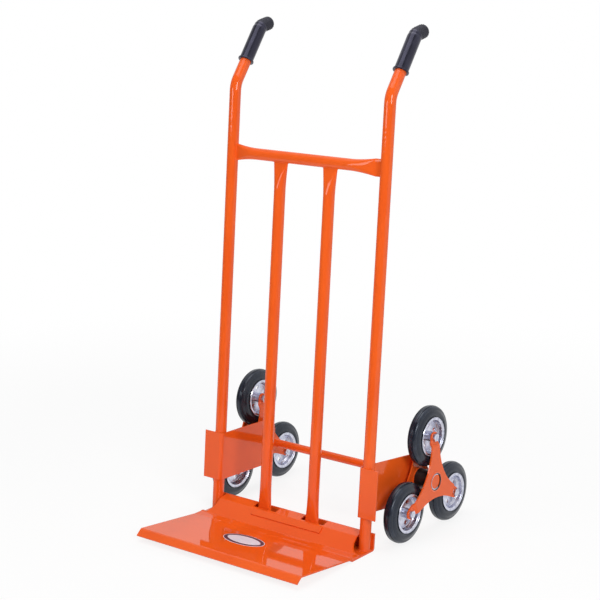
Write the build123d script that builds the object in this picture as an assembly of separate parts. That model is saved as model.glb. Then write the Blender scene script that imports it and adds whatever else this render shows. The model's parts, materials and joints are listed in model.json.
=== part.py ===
from build123d import *
import os
from math import cos, hypot, pi, radians, sin

# Stair climbing hand truck at real size, in millimetres and degrees.
# X runs across the truck, +Y from the toe plate to the wheels, and the floor is Z = 0.
# The origin is on the floor, midway between the points where the uprights' axes meet it.
# The frame leans back on its wheels. Frame pieces are drawn upright first, with V backwards
# and W along the uprights from the floor, and are then tilted about the X axis.

# Frame tubes
TUBE_OD = 30.0
TUBE_WALL = 2.0
UPRIGHT_SPAN = 488.0
LEAN = 4.6
BEND_HEIGHT = 1149.0
BEND_RADIUS = 60.0
HANDLE_ANGLE = 31.5
HANDLE_LENGTH = 150.0

# Tube ends pressed flat
PRESS_SLIT = 0.6
PRESS_TAPER = 50.0
PRESS_CORNER = 12.0
PRESS_CROWN = 0.1

# Cross tube and the two slats under it
CROSSBAR_HEIGHT = 974.0
CROSSBAR_FLAT = 10.0
SLAT_SPAN = 157.0
SLAT_FORWARD = 5.0
SLAT_LOW_FLAT = 28.0
SLAT_HIGH_FLAT = 14.0
SLAT_TUCK = 16.0

# Base angle, with its bottom flat on the floor
BASE_OVERHANG = 2.0
BASE_SHEET = 5.0
BASE_FRONT = 75.0
BASE_BEND = 6.0
FLANGE_HEIGHT = 47.0

# Toe plate sheet: lip, plate, foot, sloping panel and top flange
TOE_SHEET = 4.0
TOE_REACH = 210.0
TOE_RISE = 6.1
TOE_BEND = 6.0
LIP_LENGTH = 22.0
LIP_DROP = 40.0
PANEL_FOOT = 27.0
PANEL_TOP = 12.0
FLANGE_CLIMB = 7.0
SLAT_NOTCH = 74.0
CORNER_NOTCH = 24.0
CORNER_NOTCH_GAP = 1.2
CORNER_NOTCH_FLOOR = 1.0

# Flat bar that ties the slats' feet, and the oval plate
TIE_OVERHANG = 34.5
TIE_WIDTH = 19.0
TIE_THICKNESS = 3.0
TIE_BELOW_TOP = 2.0
TIE_ASIDE = 8.0
LABEL_LENGTH = 128.0
LABEL_DEPTH = 76.0
LABEL_THICKNESS = 0.5
LABEL_ASIDE = -18.0
LABEL_AHEAD = 87.5
LABEL_TURN = -4.5

# Wheel brackets, bent sheets that run from the uprights back to the axle
BRACKET_SHEET = 3.0
BRACKET_BELOW = 66.0
BRACKET_HEIGHT = 129.0
BRACKET_OVERHANG = 39.0
BRACKET_BEND = 8.0
BRACKET_SPLAY = 4.85
BRACKET_TAIL = 32.0
BRACKET_ROUND = 40.0

# Axle and what holds the wheel clusters on it
AXLE_OD = 22.0
AXLE_BACK = 208.5
RUNNING_GAP = 0.05
SEAT_GAP = 0.02
END_PLAY = 0.3
COLLAR_OD = 34.0
COLLAR_LENGTH = 6.93
COLLAR_GAP = 0.2
END_WASHER_GAP = 2.0
END_WASHER_THICKNESS = 2.0
CLIP_OD = 30.0
CLIP_DEPTH = 1.0
CLIP_THICKNESS = 1.2
CLIP_OPENING = 12.0
AXLE_STUB = 1.5

# Wheel cluster: two spiders on a hub tube, three wheels between them
CLUSTER_ARMS = 3
ARM_LENGTH = 120.0
ARM_END_RADIUS = 14.0
ARM_ROOT_RADIUS = 28.0
ARM_FILLET = 160.0
SPIDER_SHEET = 4.0
SPIDER_GAP = 48.0
SPIDER_JOGGLE = 6.0
SPIDER_JOGGLE_RUN = 9.0
SPIDER_BEND = 4.0
HUB_OD = 52.0
HUB_WALL = 5.0
HUB_INSIDE_REACH = 1.5
HUB_OUTSIDE_REACH = 1.5
HUB_ROUND = 1.2
BUSH_LENGTH = 20.0
CAP_THICKNESS = 1.5
CAP_GAP = 1.0
SNAP_RING_THICKNESS = 1.6
SNAP_RING_WIDTH = 3.2
SNAP_RING_SEAT = 1.0
SNAP_RING_OPENING = 100.0

# Wheel bolts
BOLT_OD = 12.0
BOLT_HEAD_ACROSS = 19.0
BOLT_HEAD_THICKNESS = 7.5
NUT_THICKNESS = 9.0
BOLT_END = 1.5
SPACER_OD = 24.0

# Wheels
WHEEL_OD = 160.0
TYRE_WIDTH = 35.0
TYRE_SHOULDER = 26.8
TYRE_CROWN = 4.6
TYRE_GROOVE = 1.6
TYRE_GROOVE_OFFSET = 6.0
TYRE_GAP = 0.2
RIM_OD = 102.0
RIM_WIDTH = 36.0
RIM_SHEET = 1.5
RIM_FLANGE = 7.0
RIM_LIP = 1.6
RIM_WELL_TAPER = 4.0
RIM_WELL_FLOOR = 6.0
RIM_BEND = 2.0
RIM_HOLES = 5
RIM_HOLE_OD = 13.0
RIM_HOLE_CIRCLE = 58.0
SLEEVE_OD = 26.0
SPACER_THICKNESS = 1.0

# Handle grips
GRIP_WALL = 3.2
GRIP_SOCKET = 80.0
GRIP_COLLAR_RISE = 2.8
GRIP_COLLAR_LENGTH = 5.0
GRIP_COLLAR_ROUND = 1.5
GRIP_KNEE = 106.0
GRIP_TURN = 42.5
GRIP_BEND = 26.0
GRIP_TIP = 40.0
GRIP_TIP_ROUND = 8.0

# Places and sizes that follow from the ones above
TUBE_R = TUBE_OD / 2
UPRIGHT_X = UPRIGHT_SPAN / 2
SLAT_X = SLAT_SPAN / 2
BASE_WIDTH = UPRIGHT_SPAN + TUBE_OD + 2 * BASE_OVERHANG
LEAN_SIN = sin(radians(LEAN))
LEAN_COS = cos(radians(LEAN))
FRAME = Rot(-LEAN, 0, 0)
PRESS_HALF_DEPTH = TUBE_WALL + PRESS_SLIT / 2
PRESS_FOLD = (TUBE_WALL + PRESS_SLIT) / 2
PRESS_STRAIGHT = (pi * (TUBE_OD - TUBE_WALL) - 2 * pi * PRESS_FOLD) / 2
ARM_ANGLES = [90 + 360 / CLUSTER_ARMS * n for n in range(CLUSTER_ARMS)]
AXLE_Z = WHEEL_OD / 2 - ARM_LENGTH * min(sin(radians(angle)) for angle in ARM_ANGLES)
AXLE_W = (AXLE_Z + AXLE_BACK * LEAN_SIN) / LEAN_COS
AXLE_Y = AXLE_BACK * LEAN_COS + AXLE_W * LEAN_SIN
AXLE_R = AXLE_OD / 2
HUB_BORE_R = HUB_OD / 2 - HUB_WALL
SPLAY = radians(BRACKET_SPLAY)
FLANGE_FACE_X = UPRIGHT_X + ((AXLE_BACK + COLLAR_OD / 2) * sin(SPLAY) - TUBE_R) / cos(SPLAY)
COLLAR_X = FLANGE_FACE_X + COLLAR_GAP
HUB_INSIDE_X = COLLAR_X + COLLAR_LENGTH + END_PLAY
CLUSTER_X = HUB_INSIDE_X + HUB_INSIDE_REACH + SPIDER_SHEET + SPIDER_GAP / 2
HUB_OUTSIDE_X = CLUSTER_X + SPIDER_GAP / 2 + SPIDER_SHEET + HUB_OUTSIDE_REACH
SNAP_RING_X = HUB_OUTSIDE_X - HUB_ROUND - SNAP_RING_THICKNESS
CAP_X = SNAP_RING_X - CAP_THICKNESS
AXLE_END_X = CAP_X - CAP_GAP
CLIP_X = AXLE_END_X - AXLE_STUB - CLIP_THICKNESS
END_WASHER_X = CLIP_X - END_WASHER_THICKNESS
BUSH_END_X = END_WASHER_X - END_PLAY
ARM_END_GAP = SPIDER_GAP - 2 * SPIDER_JOGGLE
SLEEVE_LENGTH = ARM_END_GAP - 2 * SPACER_THICKNESS - 2 * END_PLAY
RIM_HALF = RIM_WIDTH / 2
RIM_SEAT_R = RIM_OD / 2 - RIM_FLANGE
GRIP_OD = TUBE_OD + 2 * GRIP_WALL
GRIP_COLLAR_R = GRIP_OD / 2 + GRIP_COLLAR_RISE
GRIP_START = HANDLE_LENGTH - GRIP_SOCKET
CUT_REACH = BEND_HEIGHT + UPRIGHT_SPAN


def floor_point(v, w):
    """Y and Z of a point of the leaning frame, from its place on the upright drawing."""
    return (v * LEAN_COS + w * LEAN_SIN, w * LEAN_COS - v * LEAN_SIN)


def slab(low, high):
    """Box between two corner points."""
    size = [b - a for a, b in zip(low, high)]
    middle = [(a + b) / 2 for a, b in zip(low, high)]
    return Pos(*middle) * Box(*size)


def rod(radius, start, end):
    """Solid round bar on the X axis."""
    return Pos((start + end) / 2, 0, 0) * Rot(0, 90, 0) * Cylinder(radius, end - start)


def ring(outer, inner, start, end):
    """Round tube on the X axis."""
    return rod(outer, start, end) - rod(inner, start, end)


def open_ring(outer, inner, start, end, opening, turn):
    """Round ring on the X axis with a slot in its side, like a retaining ring."""
    slot = Rot(turn, 0, 0) * slab((start, 0, -opening / 2), (end, outer * 2, opening / 2))
    return ring(outer, inner, start, end) - slot


def sheet(points, thickness, bend, plane, length):
    """Bent sheet of one thickness along a row of points, drawn to both sides of a plane."""
    return extrude(plane * trace(FilletPolyline(*points, radius=bend), thickness), length / 2, both=True)


def section(corner_x, corner_y, end_x, side_y, height):
    """Closed outline of four arcs across the Z axis."""
    corners = [(corner_x, corner_y), (-corner_x, corner_y), (-corner_x, -corner_y), (corner_x, -corner_y)]
    middles = [(0, side_y), (-end_x, 0), (0, -side_y), (end_x, 0)]
    ends = corners[1:] + corners[:1]
    arcs = [ThreePointArc(start, middle, end) for start, middle, end in zip(corners, middles, ends)]
    return Pos(0, 0, height) * Wire(arcs)


def round_section(radius, height):
    """Tube outline where it is round."""
    corner = radians(PRESS_CORNER)
    return section(radius * cos(corner), radius * sin(corner), radius, radius, height)


def flat_section(half_depth, height):
    """Tube outline where it is pressed flat."""
    straight = PRESS_STRAIGHT / 2
    return section(straight, half_depth, straight + half_depth, half_depth + PRESS_CROWN, height)


def pressed_tube(length, low_flat, high_flat):
    """Hollow tube along Z with both ends pressed flat, wide along X."""
    flats = [0, low_flat, length - high_flat, length]
    rounds = [low_flat + PRESS_TAPER, length - high_flat - PRESS_TAPER]

    def skin(radius, half_depth):
        wires = [flat_section(half_depth, z) for z in flats]
        wires[2:2] = [round_section(radius, z) for z in rounds]
        return Part([Solid.make_loft(wires, ruled=True)])

    return skin(TUBE_R, PRESS_HALF_DEPTH) - skin(TUBE_R - TUBE_WALL, PRESS_SLIT / 2)


def upright_blank(section_face):
    """Sweep of a section up the right upright and into its handle."""
    knee = (UPRIGHT_X, 0, BEND_HEIGHT)
    handle = radians(HANDLE_ANGLE)
    tip = (UPRIGHT_X, HANDLE_LENGTH * sin(handle), BEND_HEIGHT + HANDLE_LENGTH * cos(handle))
    path = FilletPolyline((UPRIGHT_X, 0, 0), knee, tip, radius=BEND_RADIUS)
    return sweep(Pos(UPRIGHT_X, 0, 0) * section_face, path=path)


def make_upright(base):
    """Right upright, its foot cut to the base angle."""
    tube = FRAME * upright_blank(Circle(TUBE_R) - Circle(TUBE_R - TUBE_WALL))
    below = slab((-CUT_REACH, -CUT_REACH, -CUT_REACH), (CUT_REACH, CUT_REACH, BASE_SHEET))
    return tube - below - base


def make_crossbar():
    """Cross tube between the uprights, its pressed ends cut to their round."""
    flat = TUBE_R + CROSSBAR_FLAT
    bar = Pos(-UPRIGHT_X, 0, CROSSBAR_HEIGHT) * Rot(0, 90, 0) * pressed_tube(UPRIGHT_SPAN, flat, flat)
    for side in (-1, 1):
        bar -= Pos(side * UPRIGHT_X, 0, CROSSBAR_HEIGHT) * Cylinder(TUBE_R, 4 * TUBE_OD)
    return FRAME * bar


def make_slat():
    """Right slat, from under the cross tube down into the notch of the top flange."""
    low = FLANGE_HEIGHT - SLAT_TUCK
    tube = pressed_tube(CROSSBAR_HEIGHT - low, SLAT_LOW_FLAT, TUBE_R + SLAT_HIGH_FLAT)
    crossbar = Pos(0, 0, CROSSBAR_HEIGHT) * rod(TUBE_R, -UPRIGHT_X, UPRIGHT_X)
    return FRAME * (Pos(SLAT_X, -SLAT_FORWARD, low) * tube - crossbar)


def make_base():
    """Base angle: bottom flat on the floor, rear flange along the uprights' backs."""
    flange_v = TUBE_R + BASE_SHEET / 2
    corner_w = (BASE_SHEET / 2 + flange_v * LEAN_SIN) / LEAN_COS
    flange = [floor_point(flange_v, w) for w in (corner_w, FLANGE_HEIGHT)]
    return sheet([(-BASE_FRONT, BASE_SHEET / 2), *flange], BASE_SHEET, BASE_BEND, Plane.YZ, BASE_WIDTH)


def toe_points():
    """Middle line of the toe plate sheet, from the lip's edge to just past the top flange's rear edge."""
    foot_z = BASE_SHEET + TOE_SHEET / 2
    rise = radians(TOE_RISE)
    drop = radians(LIP_DROP)
    lip_bend = (-BASE_FRONT - TOE_REACH * cos(rise), foot_z + TOE_REACH * sin(rise))
    lip_edge = (lip_bend[0] - LIP_LENGTH * cos(drop), lip_bend[1] - LIP_LENGTH * sin(drop))
    rear_w = FLANGE_HEIGHT - TOE_SHEET / 2
    climb = FLANGE_CLIMB / (TUBE_R + PANEL_TOP)
    return [
        lip_edge,
        lip_bend,
        (-BASE_FRONT, foot_z),
        (-BASE_FRONT + PANEL_FOOT, foot_z),
        floor_point(-PANEL_TOP, rear_w - FLANGE_CLIMB),
        floor_point(TUBE_R + TOE_SHEET, rear_w + climb * TOE_SHEET),
    ]


def corner_notch():
    """Rounded cut that clears the right upright at the end of the panel."""
    x = UPRIGHT_X - TUBE_R - CORNER_NOTCH_GAP + CORNER_NOTCH
    bottom = BASE_SHEET + TOE_SHEET + CORNER_NOTCH_FLOOR
    middle = bottom + CORNER_NOTCH
    front = -BASE_FRONT + PANEL_FOOT
    cut = Pos(x, 0, middle) * Rot(90, 0, 0) * Cylinder(CORNER_NOTCH, 2 * BASE_FRONT)
    cut += slab((x, front, bottom), (x + CUT_REACH, BASE_FRONT, middle + CUT_REACH))
    cut += slab((x - CORNER_NOTCH, front, middle), (x + CUT_REACH, BASE_FRONT, middle + CUT_REACH))
    return cut


def make_toe_plate():
    """Toe plate with its sloping panel, notched for the slats and the uprights."""
    plate = sheet(toe_points(), TOE_SHEET, TOE_BEND, Plane.YZ, BASE_WIDTH)
    plate -= FRAME * slab((-BASE_WIDTH, TUBE_R, 0), (BASE_WIDTH, BASE_FRONT, FLANGE_HEIGHT + TUBE_OD))
    notch_front = -SLAT_FORWARD - PRESS_HALF_DEPTH - PRESS_CROWN
    for side in (-1, 1):
        notch = slab((-SLAT_NOTCH / 2, notch_front, FLANGE_HEIGHT - SLAT_TUCK),
                     (SLAT_NOTCH / 2, BASE_FRONT, FLANGE_HEIGHT + TOE_SHEET))
        plate -= FRAME * Pos(side * SLAT_X, 0, 0) * notch
    plate -= corner_notch()
    plate -= mirror(corner_notch(), about=Plane.YZ)
    return plate


def make_tie_bar():
    """Flat bar on the panel's front, across both slats' feet."""
    points = toe_points()
    foot, top = Vector(0, *points[3]), Vector(0, *points[4])
    slope = (top - foot).normalized()
    out = Vector(0, -slope.Z, slope.Y)
    middle = top - slope * (TIE_BELOW_TOP + TIE_WIDTH / 2) + out * (TOE_SHEET + TIE_THICKNESS) / 2
    bar = Pos(TIE_ASIDE, 0, 0) * Box(SLAT_SPAN + 2 * TIE_OVERHANG, TIE_WIDTH, TIE_THICKNESS)
    return Plane(middle, x_dir=(1, 0, 0), z_dir=out) * bar


def make_label():
    """Thin oval plate on the toe plate."""
    kink = Vector(0, *toe_points()[2])
    rise = radians(TOE_RISE)
    up = Vector(0, sin(rise), cos(rise))
    ahead = Vector(0, -cos(rise), sin(rise))
    middle = kink + ahead * LABEL_AHEAD + up * TOE_SHEET / 2 + Vector(LABEL_ASIDE, 0, 0)
    oval = Rot(0, 0, LABEL_TURN) * Ellipse(LABEL_LENGTH / 2, LABEL_DEPTH / 2)
    return extrude(Plane(middle, x_dir=(1, 0, 0), z_dir=up) * oval, LABEL_THICKNESS)


def bracket_middle_x(v):
    """X of the right bracket flange's middle, which runs along the upright's inner side."""
    return UPRIGHT_X + (v * sin(SPLAY) - TUBE_R - BRACKET_SHEET / 2) / cos(SPLAY)


def make_bracket():
    """Right wheel bracket: plate on the upright's front, flange back to the axle."""
    front = -TUBE_R - BRACKET_SHEET / 2
    rear = AXLE_BACK + BRACKET_TAIL
    flange = [(bracket_middle_x(v), v) for v in (front, rear)]
    middle_w = AXLE_W - BRACKET_BELOW + BRACKET_HEIGHT / 2
    points = [(UPRIGHT_X + BRACKET_OVERHANG, front), *flange]
    plate = sheet(points, BRACKET_SHEET, BRACKET_BEND, Plane.XY.offset(middle_w), BRACKET_HEIGHT)
    side = Pos(rear - CUT_REACH / 2, middle_w) * Rectangle(CUT_REACH, BRACKET_HEIGHT)
    side = fillet(side.vertices().group_by(Axis.X)[-1], BRACKET_ROUND)
    plate &= extrude(Plane.YZ * side, CUT_REACH)
    plate -= Pos(0, AXLE_BACK, AXLE_W) * rod(AXLE_R + SEAT_GAP, 0, CUT_REACH)
    return FRAME * plate


def at_axle(piece):
    """Piece drawn on the X axis, moved to the axle."""
    return Pos(0, AXLE_Y, AXLE_Z) * piece


def make_axle():
    """Axle through both brackets, grooved near its ends for the clips."""
    bar = rod(AXLE_R, -AXLE_END_X, AXLE_END_X)
    for side in (-1, 1):
        groove = ring(AXLE_OD, AXLE_R - CLIP_DEPTH, CLIP_X, CLIP_X + CLIP_THICKNESS)
        bar -= groove if side > 0 else mirror(groove, about=Plane.YZ)
    return at_axle(bar)


def make_collar():
    """Right thrust collar between the bracket and the hub tube."""
    return at_axle(ring(COLLAR_OD / 2, AXLE_R + SEAT_GAP, COLLAR_X, COLLAR_X + COLLAR_LENGTH))


def make_end_washer():
    """Right washer on the axle's end, outside the hub's outer bush."""
    return at_axle(ring(HUB_BORE_R - END_WASHER_GAP, AXLE_R + SEAT_GAP, END_WASHER_X, CLIP_X))


def make_axle_clip():
    """Right retaining clip in the axle's groove."""
    inner = AXLE_R - CLIP_DEPTH + SEAT_GAP
    return at_axle(open_ring(CLIP_OD / 2, inner, CLIP_X, CLIP_X + CLIP_THICKNESS, CLIP_OPENING, -90))


def make_spider(side):
    """Three-armed plate outside (1) or inside (-1) of the wheels, its arms' ends joggled towards them."""
    hub_x = CLUSTER_X + side * (SPIDER_GAP + SPIDER_SHEET) / 2
    end_x = hub_x - side * SPIDER_JOGGLE
    end_r = ARM_LENGTH - ARM_END_RADIUS
    points = [(hub_x, HUB_OD / 2 + SEAT_GAP), (hub_x, end_r - SPIDER_JOGGLE_RUN), (end_x, end_r)]
    points.append((end_x, ARM_LENGTH + 2 * ARM_END_RADIUS))
    disc = revolve(trace(FilletPolyline(*points, radius=SPIDER_BEND), SPIDER_SHEET), Axis.X)
    arm = make_hull((Pos(ARM_LENGTH, 0) * Circle(ARM_END_RADIUS)).edges() + Circle(ARM_ROOT_RADIUS).edges())
    outline = Sketch() + [Rot(0, 0, angle) * arm for angle in ARM_ANGLES]
    crotches = [v for v in outline.vertices() if hypot(v.X, v.Y) < ARM_ROOT_RADIUS + ARM_END_RADIUS]
    outline = fillet(crotches, ARM_FILLET)
    hole = Pos(ARM_LENGTH, 0) * Circle(BOLT_OD / 2 + SEAT_GAP)
    outline -= [Rot(0, 0, angle) * hole for angle in ARM_ANGLES]
    return at_axle(disc & extrude(Plane.YZ.offset(CLUSTER_X) * outline, SPIDER_GAP, both=True))


def make_hub_tube():
    """Hub tube that joins the two spiders, grooved inside for the snap ring."""
    tube = ring(HUB_OD / 2, HUB_BORE_R, HUB_INSIDE_X, HUB_OUTSIDE_X)
    tube = fillet(tube.edges().group_by(Axis.X)[-1], HUB_ROUND)
    seat = rod(HUB_BORE_R + SNAP_RING_SEAT, SNAP_RING_X, SNAP_RING_X + SNAP_RING_THICKNESS)
    return at_axle(tube - seat)


def make_bushes():
    """Two plain bushes in the hub tube, which turn on the axle."""
    starts = (HUB_INSIDE_X, BUSH_END_X - BUSH_LENGTH)
    outer, inner = HUB_BORE_R - SEAT_GAP, AXLE_R + RUNNING_GAP
    return Compound([at_axle(ring(outer, inner, x, x + BUSH_LENGTH)) for x in starts])


def make_cap():
    """Round cap inside the hub tube's outer end."""
    return at_axle(rod(HUB_BORE_R - SEAT_GAP, CAP_X, CAP_X + CAP_THICKNESS))


def make_snap_ring():
    """Open ring that holds the cap in the hub tube."""
    outer = HUB_BORE_R + SNAP_RING_SEAT - SEAT_GAP
    inner = outer - SNAP_RING_WIDTH
    gap = 2 * outer * sin(radians(SNAP_RING_OPENING / 2))
    return at_axle(open_ring(outer, inner, SNAP_RING_X, SNAP_RING_X + SNAP_RING_THICKNESS, gap, 0))


def at_arm(angle, piece):
    """Piece drawn on the X axis, moved to the end of an arm."""
    return at_axle(Rot(angle, 0, 0) * Pos(0, ARM_LENGTH, 0) * piece)


def hexagon(across, start, end):
    """Hexagonal block on the X axis."""
    return extrude(Plane.YZ.offset(start) * RegularPolygon(across / 2, 6, major_radius=False), end - start)


def make_bolts():
    """Three wheel bolts with their heads on the outside."""
    outside = CLUSTER_X + ARM_END_GAP / 2 + SPIDER_SHEET
    inside = CLUSTER_X - ARM_END_GAP / 2 - SPIDER_SHEET - NUT_THICKNESS - BOLT_END
    bolt = rod(BOLT_OD / 2, inside, outside)
    bolt += hexagon(BOLT_HEAD_ACROSS, outside, outside + BOLT_HEAD_THICKNESS)
    return Compound([at_arm(angle, bolt) for angle in ARM_ANGLES])


def make_nuts():
    """Three nuts on the wheel bolts' inner ends."""
    end = CLUSTER_X - ARM_END_GAP / 2 - SPIDER_SHEET
    start = end - NUT_THICKNESS
    nut = hexagon(BOLT_HEAD_ACROSS, start, end) - rod(BOLT_OD / 2 + SEAT_GAP, start, end)
    return Compound([at_arm(angle, nut) for angle in ARM_ANGLES])


def make_spacers():
    """Washers on each wheel bolt, between the spiders and the wheel's sleeve."""
    inner = BOLT_OD / 2 + SEAT_GAP
    left, right = CLUSTER_X - ARM_END_GAP / 2, CLUSTER_X + ARM_END_GAP / 2
    pair = [ring(SPACER_OD / 2, inner, left, left + SPACER_THICKNESS),
            ring(SPACER_OD / 2, inner, right - SPACER_THICKNESS, right)]
    return Compound([at_arm(angle, piece) for angle in ARM_ANGLES for piece in pair])


def make_tyre():
    """Solid rubber tyre about the X axis, with two grooves and stepped shoulders."""
    outer = WHEEL_OD / 2
    seat = RIM_SEAT_R + RIM_SHEET / 2 + TYRE_GAP
    inside = RIM_HALF - RIM_SHEET - TYRE_GAP
    rim_edge = RIM_OD / 2 + RIM_SHEET / 2 + TYRE_GAP
    shoulder = TYRE_SHOULDER / 2
    shoulder_r = outer - TYRE_CROWN
    bulge = (TYRE_WIDTH / 2, (rim_edge + outer) / 2 - TYRE_CROWN)
    wall = [(inside, rim_edge), bulge, (shoulder, shoulder_r - TYRE_GROOVE)]
    right = Spline(*wall)
    left = Spline(*[(-x, r) for x, r in wall])
    step_right = Line(wall[-1], (shoulder, shoulder_r))
    step_left = Line((-shoulder, shoulder_r), (-shoulder, shoulder_r - TYRE_GROOVE))
    crown = ThreePointArc((shoulder, shoulder_r), (0, outer), (-shoulder, shoulder_r))
    seat_half = [(inside, rim_edge), (inside, seat + RIM_BEND), (inside - RIM_BEND, seat)]
    bore = Polyline(*[(-x, r) for x, r in seat_half], *reversed(seat_half))
    half = make_face([right, step_right, crown, step_left, left, bore])
    groove_depth = TYRE_GROOVE + TYRE_CROWN * (TYRE_GROOVE_OFFSET / shoulder) ** 2
    for side in (-1, 1):
        half -= Pos(side * TYRE_GROOVE_OFFSET, outer) * Rectangle(TYRE_GROOVE, 2 * groove_depth)
    return revolve(half, Axis.X)


def make_rim_half():
    """Outer pressed half of the rim: web, well and flange, with round holes in the web."""
    web_x = RIM_SHEET / 2
    well_r = RIM_SEAT_R - RIM_WELL_TAPER
    points = [
        (web_x, SLEEVE_OD / 2 + SEAT_GAP),
        (web_x, well_r),
        (web_x + RIM_WELL_FLOOR, RIM_SEAT_R),
        (RIM_HALF - RIM_SHEET / 2, RIM_SEAT_R),
        (RIM_HALF - RIM_SHEET / 2, RIM_OD / 2 - RIM_LIP),
        (RIM_HALF - RIM_SHEET / 2 + RIM_LIP, RIM_OD / 2),
    ]
    half = revolve(trace(FilletPolyline(*points, radius=RIM_BEND), RIM_SHEET), Axis.X)
    hole = Pos(0, RIM_HOLE_CIRCLE / 2, 0) * rod(RIM_HOLE_OD / 2, -RIM_HALF, RIM_HALF)
    for n in range(RIM_HOLES):
        half -= Rot(360 / RIM_HOLES * n, 0, 0) * hole
    return half


def make_wheel(angle):
    """Pieces of one right-hand wheel, named, at the end of an arm."""
    outer_half = make_rim_half()
    pieces = {
        "tyre": make_tyre(),
        "rim_outer": outer_half,
        "rim_inner": mirror(outer_half, about=Plane.YZ),
        "sleeve": ring(SLEEVE_OD / 2, BOLT_OD / 2 + RUNNING_GAP, -SLEEVE_LENGTH / 2, SLEEVE_LENGTH / 2),
    }
    return {name: at_arm(angle, Pos(CLUSTER_X, 0, 0) * piece) for name, piece in pieces.items()}


def make_grip():
    """Right handle grip: collar, sleeve and a tip bent back, moulded in one piece."""
    handle = radians(HANDLE_ANGLE)
    turn = radians(GRIP_TURN)
    knee = Vector(0, 0, GRIP_KNEE)
    tip = knee + Vector(0, sin(turn), cos(turn)) * GRIP_TIP
    path = FilletPolyline((0, 0, 0), tuple(knee), tuple(tip), radius=GRIP_BEND)
    grip = sweep(Circle(GRIP_OD / 2), path=path)
    grip = fillet(grip.faces().sort_by_distance(tip)[0].edges(), GRIP_TIP_ROUND)
    collar = Pos(0, 0, GRIP_COLLAR_LENGTH / 2) * Cylinder(GRIP_COLLAR_R, GRIP_COLLAR_LENGTH)
    grip += fillet(collar.edges().filter_by(GeomType.CIRCLE), GRIP_COLLAR_ROUND)
    grip -= Pos(0, 0, GRIP_SOCKET / 2) * Cylinder(TUBE_R + SEAT_GAP, GRIP_SOCKET)
    start = (UPRIGHT_X, GRIP_START * sin(handle), BEND_HEIGHT + GRIP_START * cos(handle))
    return FRAME * Plane(start, x_dir=(1, 0, 0), z_dir=(0, sin(handle), cos(handle))).location * grip


def both_sides(name, piece):
    """Right-hand piece and its mirror image, named."""
    return {f"{name}_right": piece, f"{name}_left": mirror(piece, about=Plane.YZ)}


def pair(piece):
    """Right-hand piece and its mirror image as one group."""
    return Compound([piece, mirror(piece, about=Plane.YZ)])


def make_frame():
    """Everything that stands still, by name."""
    base = make_base()
    pieces = {
        "upper_crossbar": make_crossbar(),
        "base_angle": base,
        "toe_plate": make_toe_plate(),
        "slat_tie_bar": make_tie_bar(),
        "oval_plate": make_label(),
        "axle": make_axle(),
        "thrust_collars": pair(make_collar()),
        "axle_end_washers": pair(make_end_washer()),
        "axle_clips": pair(make_axle_clip()),
    }
    pieces |= both_sides("upright", make_upright(base))
    pieces |= both_sides("slat", make_slat())
    pieces |= both_sides("wheel_bracket", make_bracket())
    pieces |= both_sides("grip", make_grip())
    return pieces


def make_clusters():
    """Both wheel clusters' carriers, by name."""
    pieces = both_sides("spider_inner", make_spider(-1))
    pieces |= both_sides("spider_outer", make_spider(1))
    pieces |= both_sides("hub_tube", make_hub_tube())
    pieces |= both_sides("hub_bushes", make_bushes())
    pieces |= both_sides("hub_cap", make_cap())
    pieces |= both_sides("snap_ring", make_snap_ring())
    pieces |= both_sides("wheel_bolts", make_bolts())
    pieces |= both_sides("wheel_nuts", make_nuts())
    pieces |= both_sides("wheel_spacers", make_spacers())
    return pieces


def make_wheels():
    """All six wheels' pieces, by name."""
    pieces = {}
    for place, angle in zip(("top", "front", "rear"), ARM_ANGLES):
        for name, piece in make_wheel(angle).items():
            pieces |= both_sides(f"{name}_{place}", piece)
    return pieces


os.makedirs("parts", exist_ok=True)
for node, shape in (make_frame() | make_clusters() | make_wheels()).items():
    export_step(shape, f"parts/{node}.step")
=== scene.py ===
"""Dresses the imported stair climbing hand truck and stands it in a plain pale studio.

Lengths are metres and angles degrees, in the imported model's own frame: X across the truck, +Y from
the toe plate to the wheels, the floor at Z = 0. Pieces of the leaning frame are drawn upright in
X, V (backwards) and W (along the uprights, from the floor) and are then leaned back. Pieces that come
in pairs are drawn for the right side and mirrored for the left.
"""

import json
import logging
from dataclasses import dataclass, field, replace
from enum import Enum
from math import atan2, cos, hypot, pi, radians, sin, tan
from typing import Optional, Sequence, Union

import bpy
import numpy as np
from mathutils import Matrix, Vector


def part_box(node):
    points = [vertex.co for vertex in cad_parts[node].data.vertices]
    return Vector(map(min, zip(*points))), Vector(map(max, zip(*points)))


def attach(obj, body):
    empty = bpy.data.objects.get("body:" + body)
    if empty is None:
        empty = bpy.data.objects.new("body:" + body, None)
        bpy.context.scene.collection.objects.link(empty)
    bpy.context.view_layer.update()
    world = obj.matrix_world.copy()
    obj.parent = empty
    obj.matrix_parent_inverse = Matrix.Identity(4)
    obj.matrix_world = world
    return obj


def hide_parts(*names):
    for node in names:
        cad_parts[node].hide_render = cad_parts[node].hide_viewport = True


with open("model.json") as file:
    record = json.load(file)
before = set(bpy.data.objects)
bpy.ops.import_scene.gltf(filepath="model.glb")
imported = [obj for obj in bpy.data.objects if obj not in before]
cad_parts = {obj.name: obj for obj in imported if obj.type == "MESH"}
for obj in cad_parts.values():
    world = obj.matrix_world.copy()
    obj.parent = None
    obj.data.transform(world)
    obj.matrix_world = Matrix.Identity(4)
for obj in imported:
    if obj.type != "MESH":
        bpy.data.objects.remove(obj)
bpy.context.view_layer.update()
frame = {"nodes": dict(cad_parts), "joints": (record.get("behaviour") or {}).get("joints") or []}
LOG = logging.getLogger("hand_truck")
MM = 0.001
JOINT_PLACES = {joint["name"]: tuple(joint["pos_m"]) for joint in frame["joints"]}
AXLE = JOINT_PLACES["cluster_right_turn"]
ACROSS = (1.0, 0.0, 0.0)
UP = (0.0, 0.0, 1.0)
POLE = 0.05  # share of a radius at which the last row of a closed end lies
CREASE = 38.0  # angle between faces above which an edge stays sharp

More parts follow.
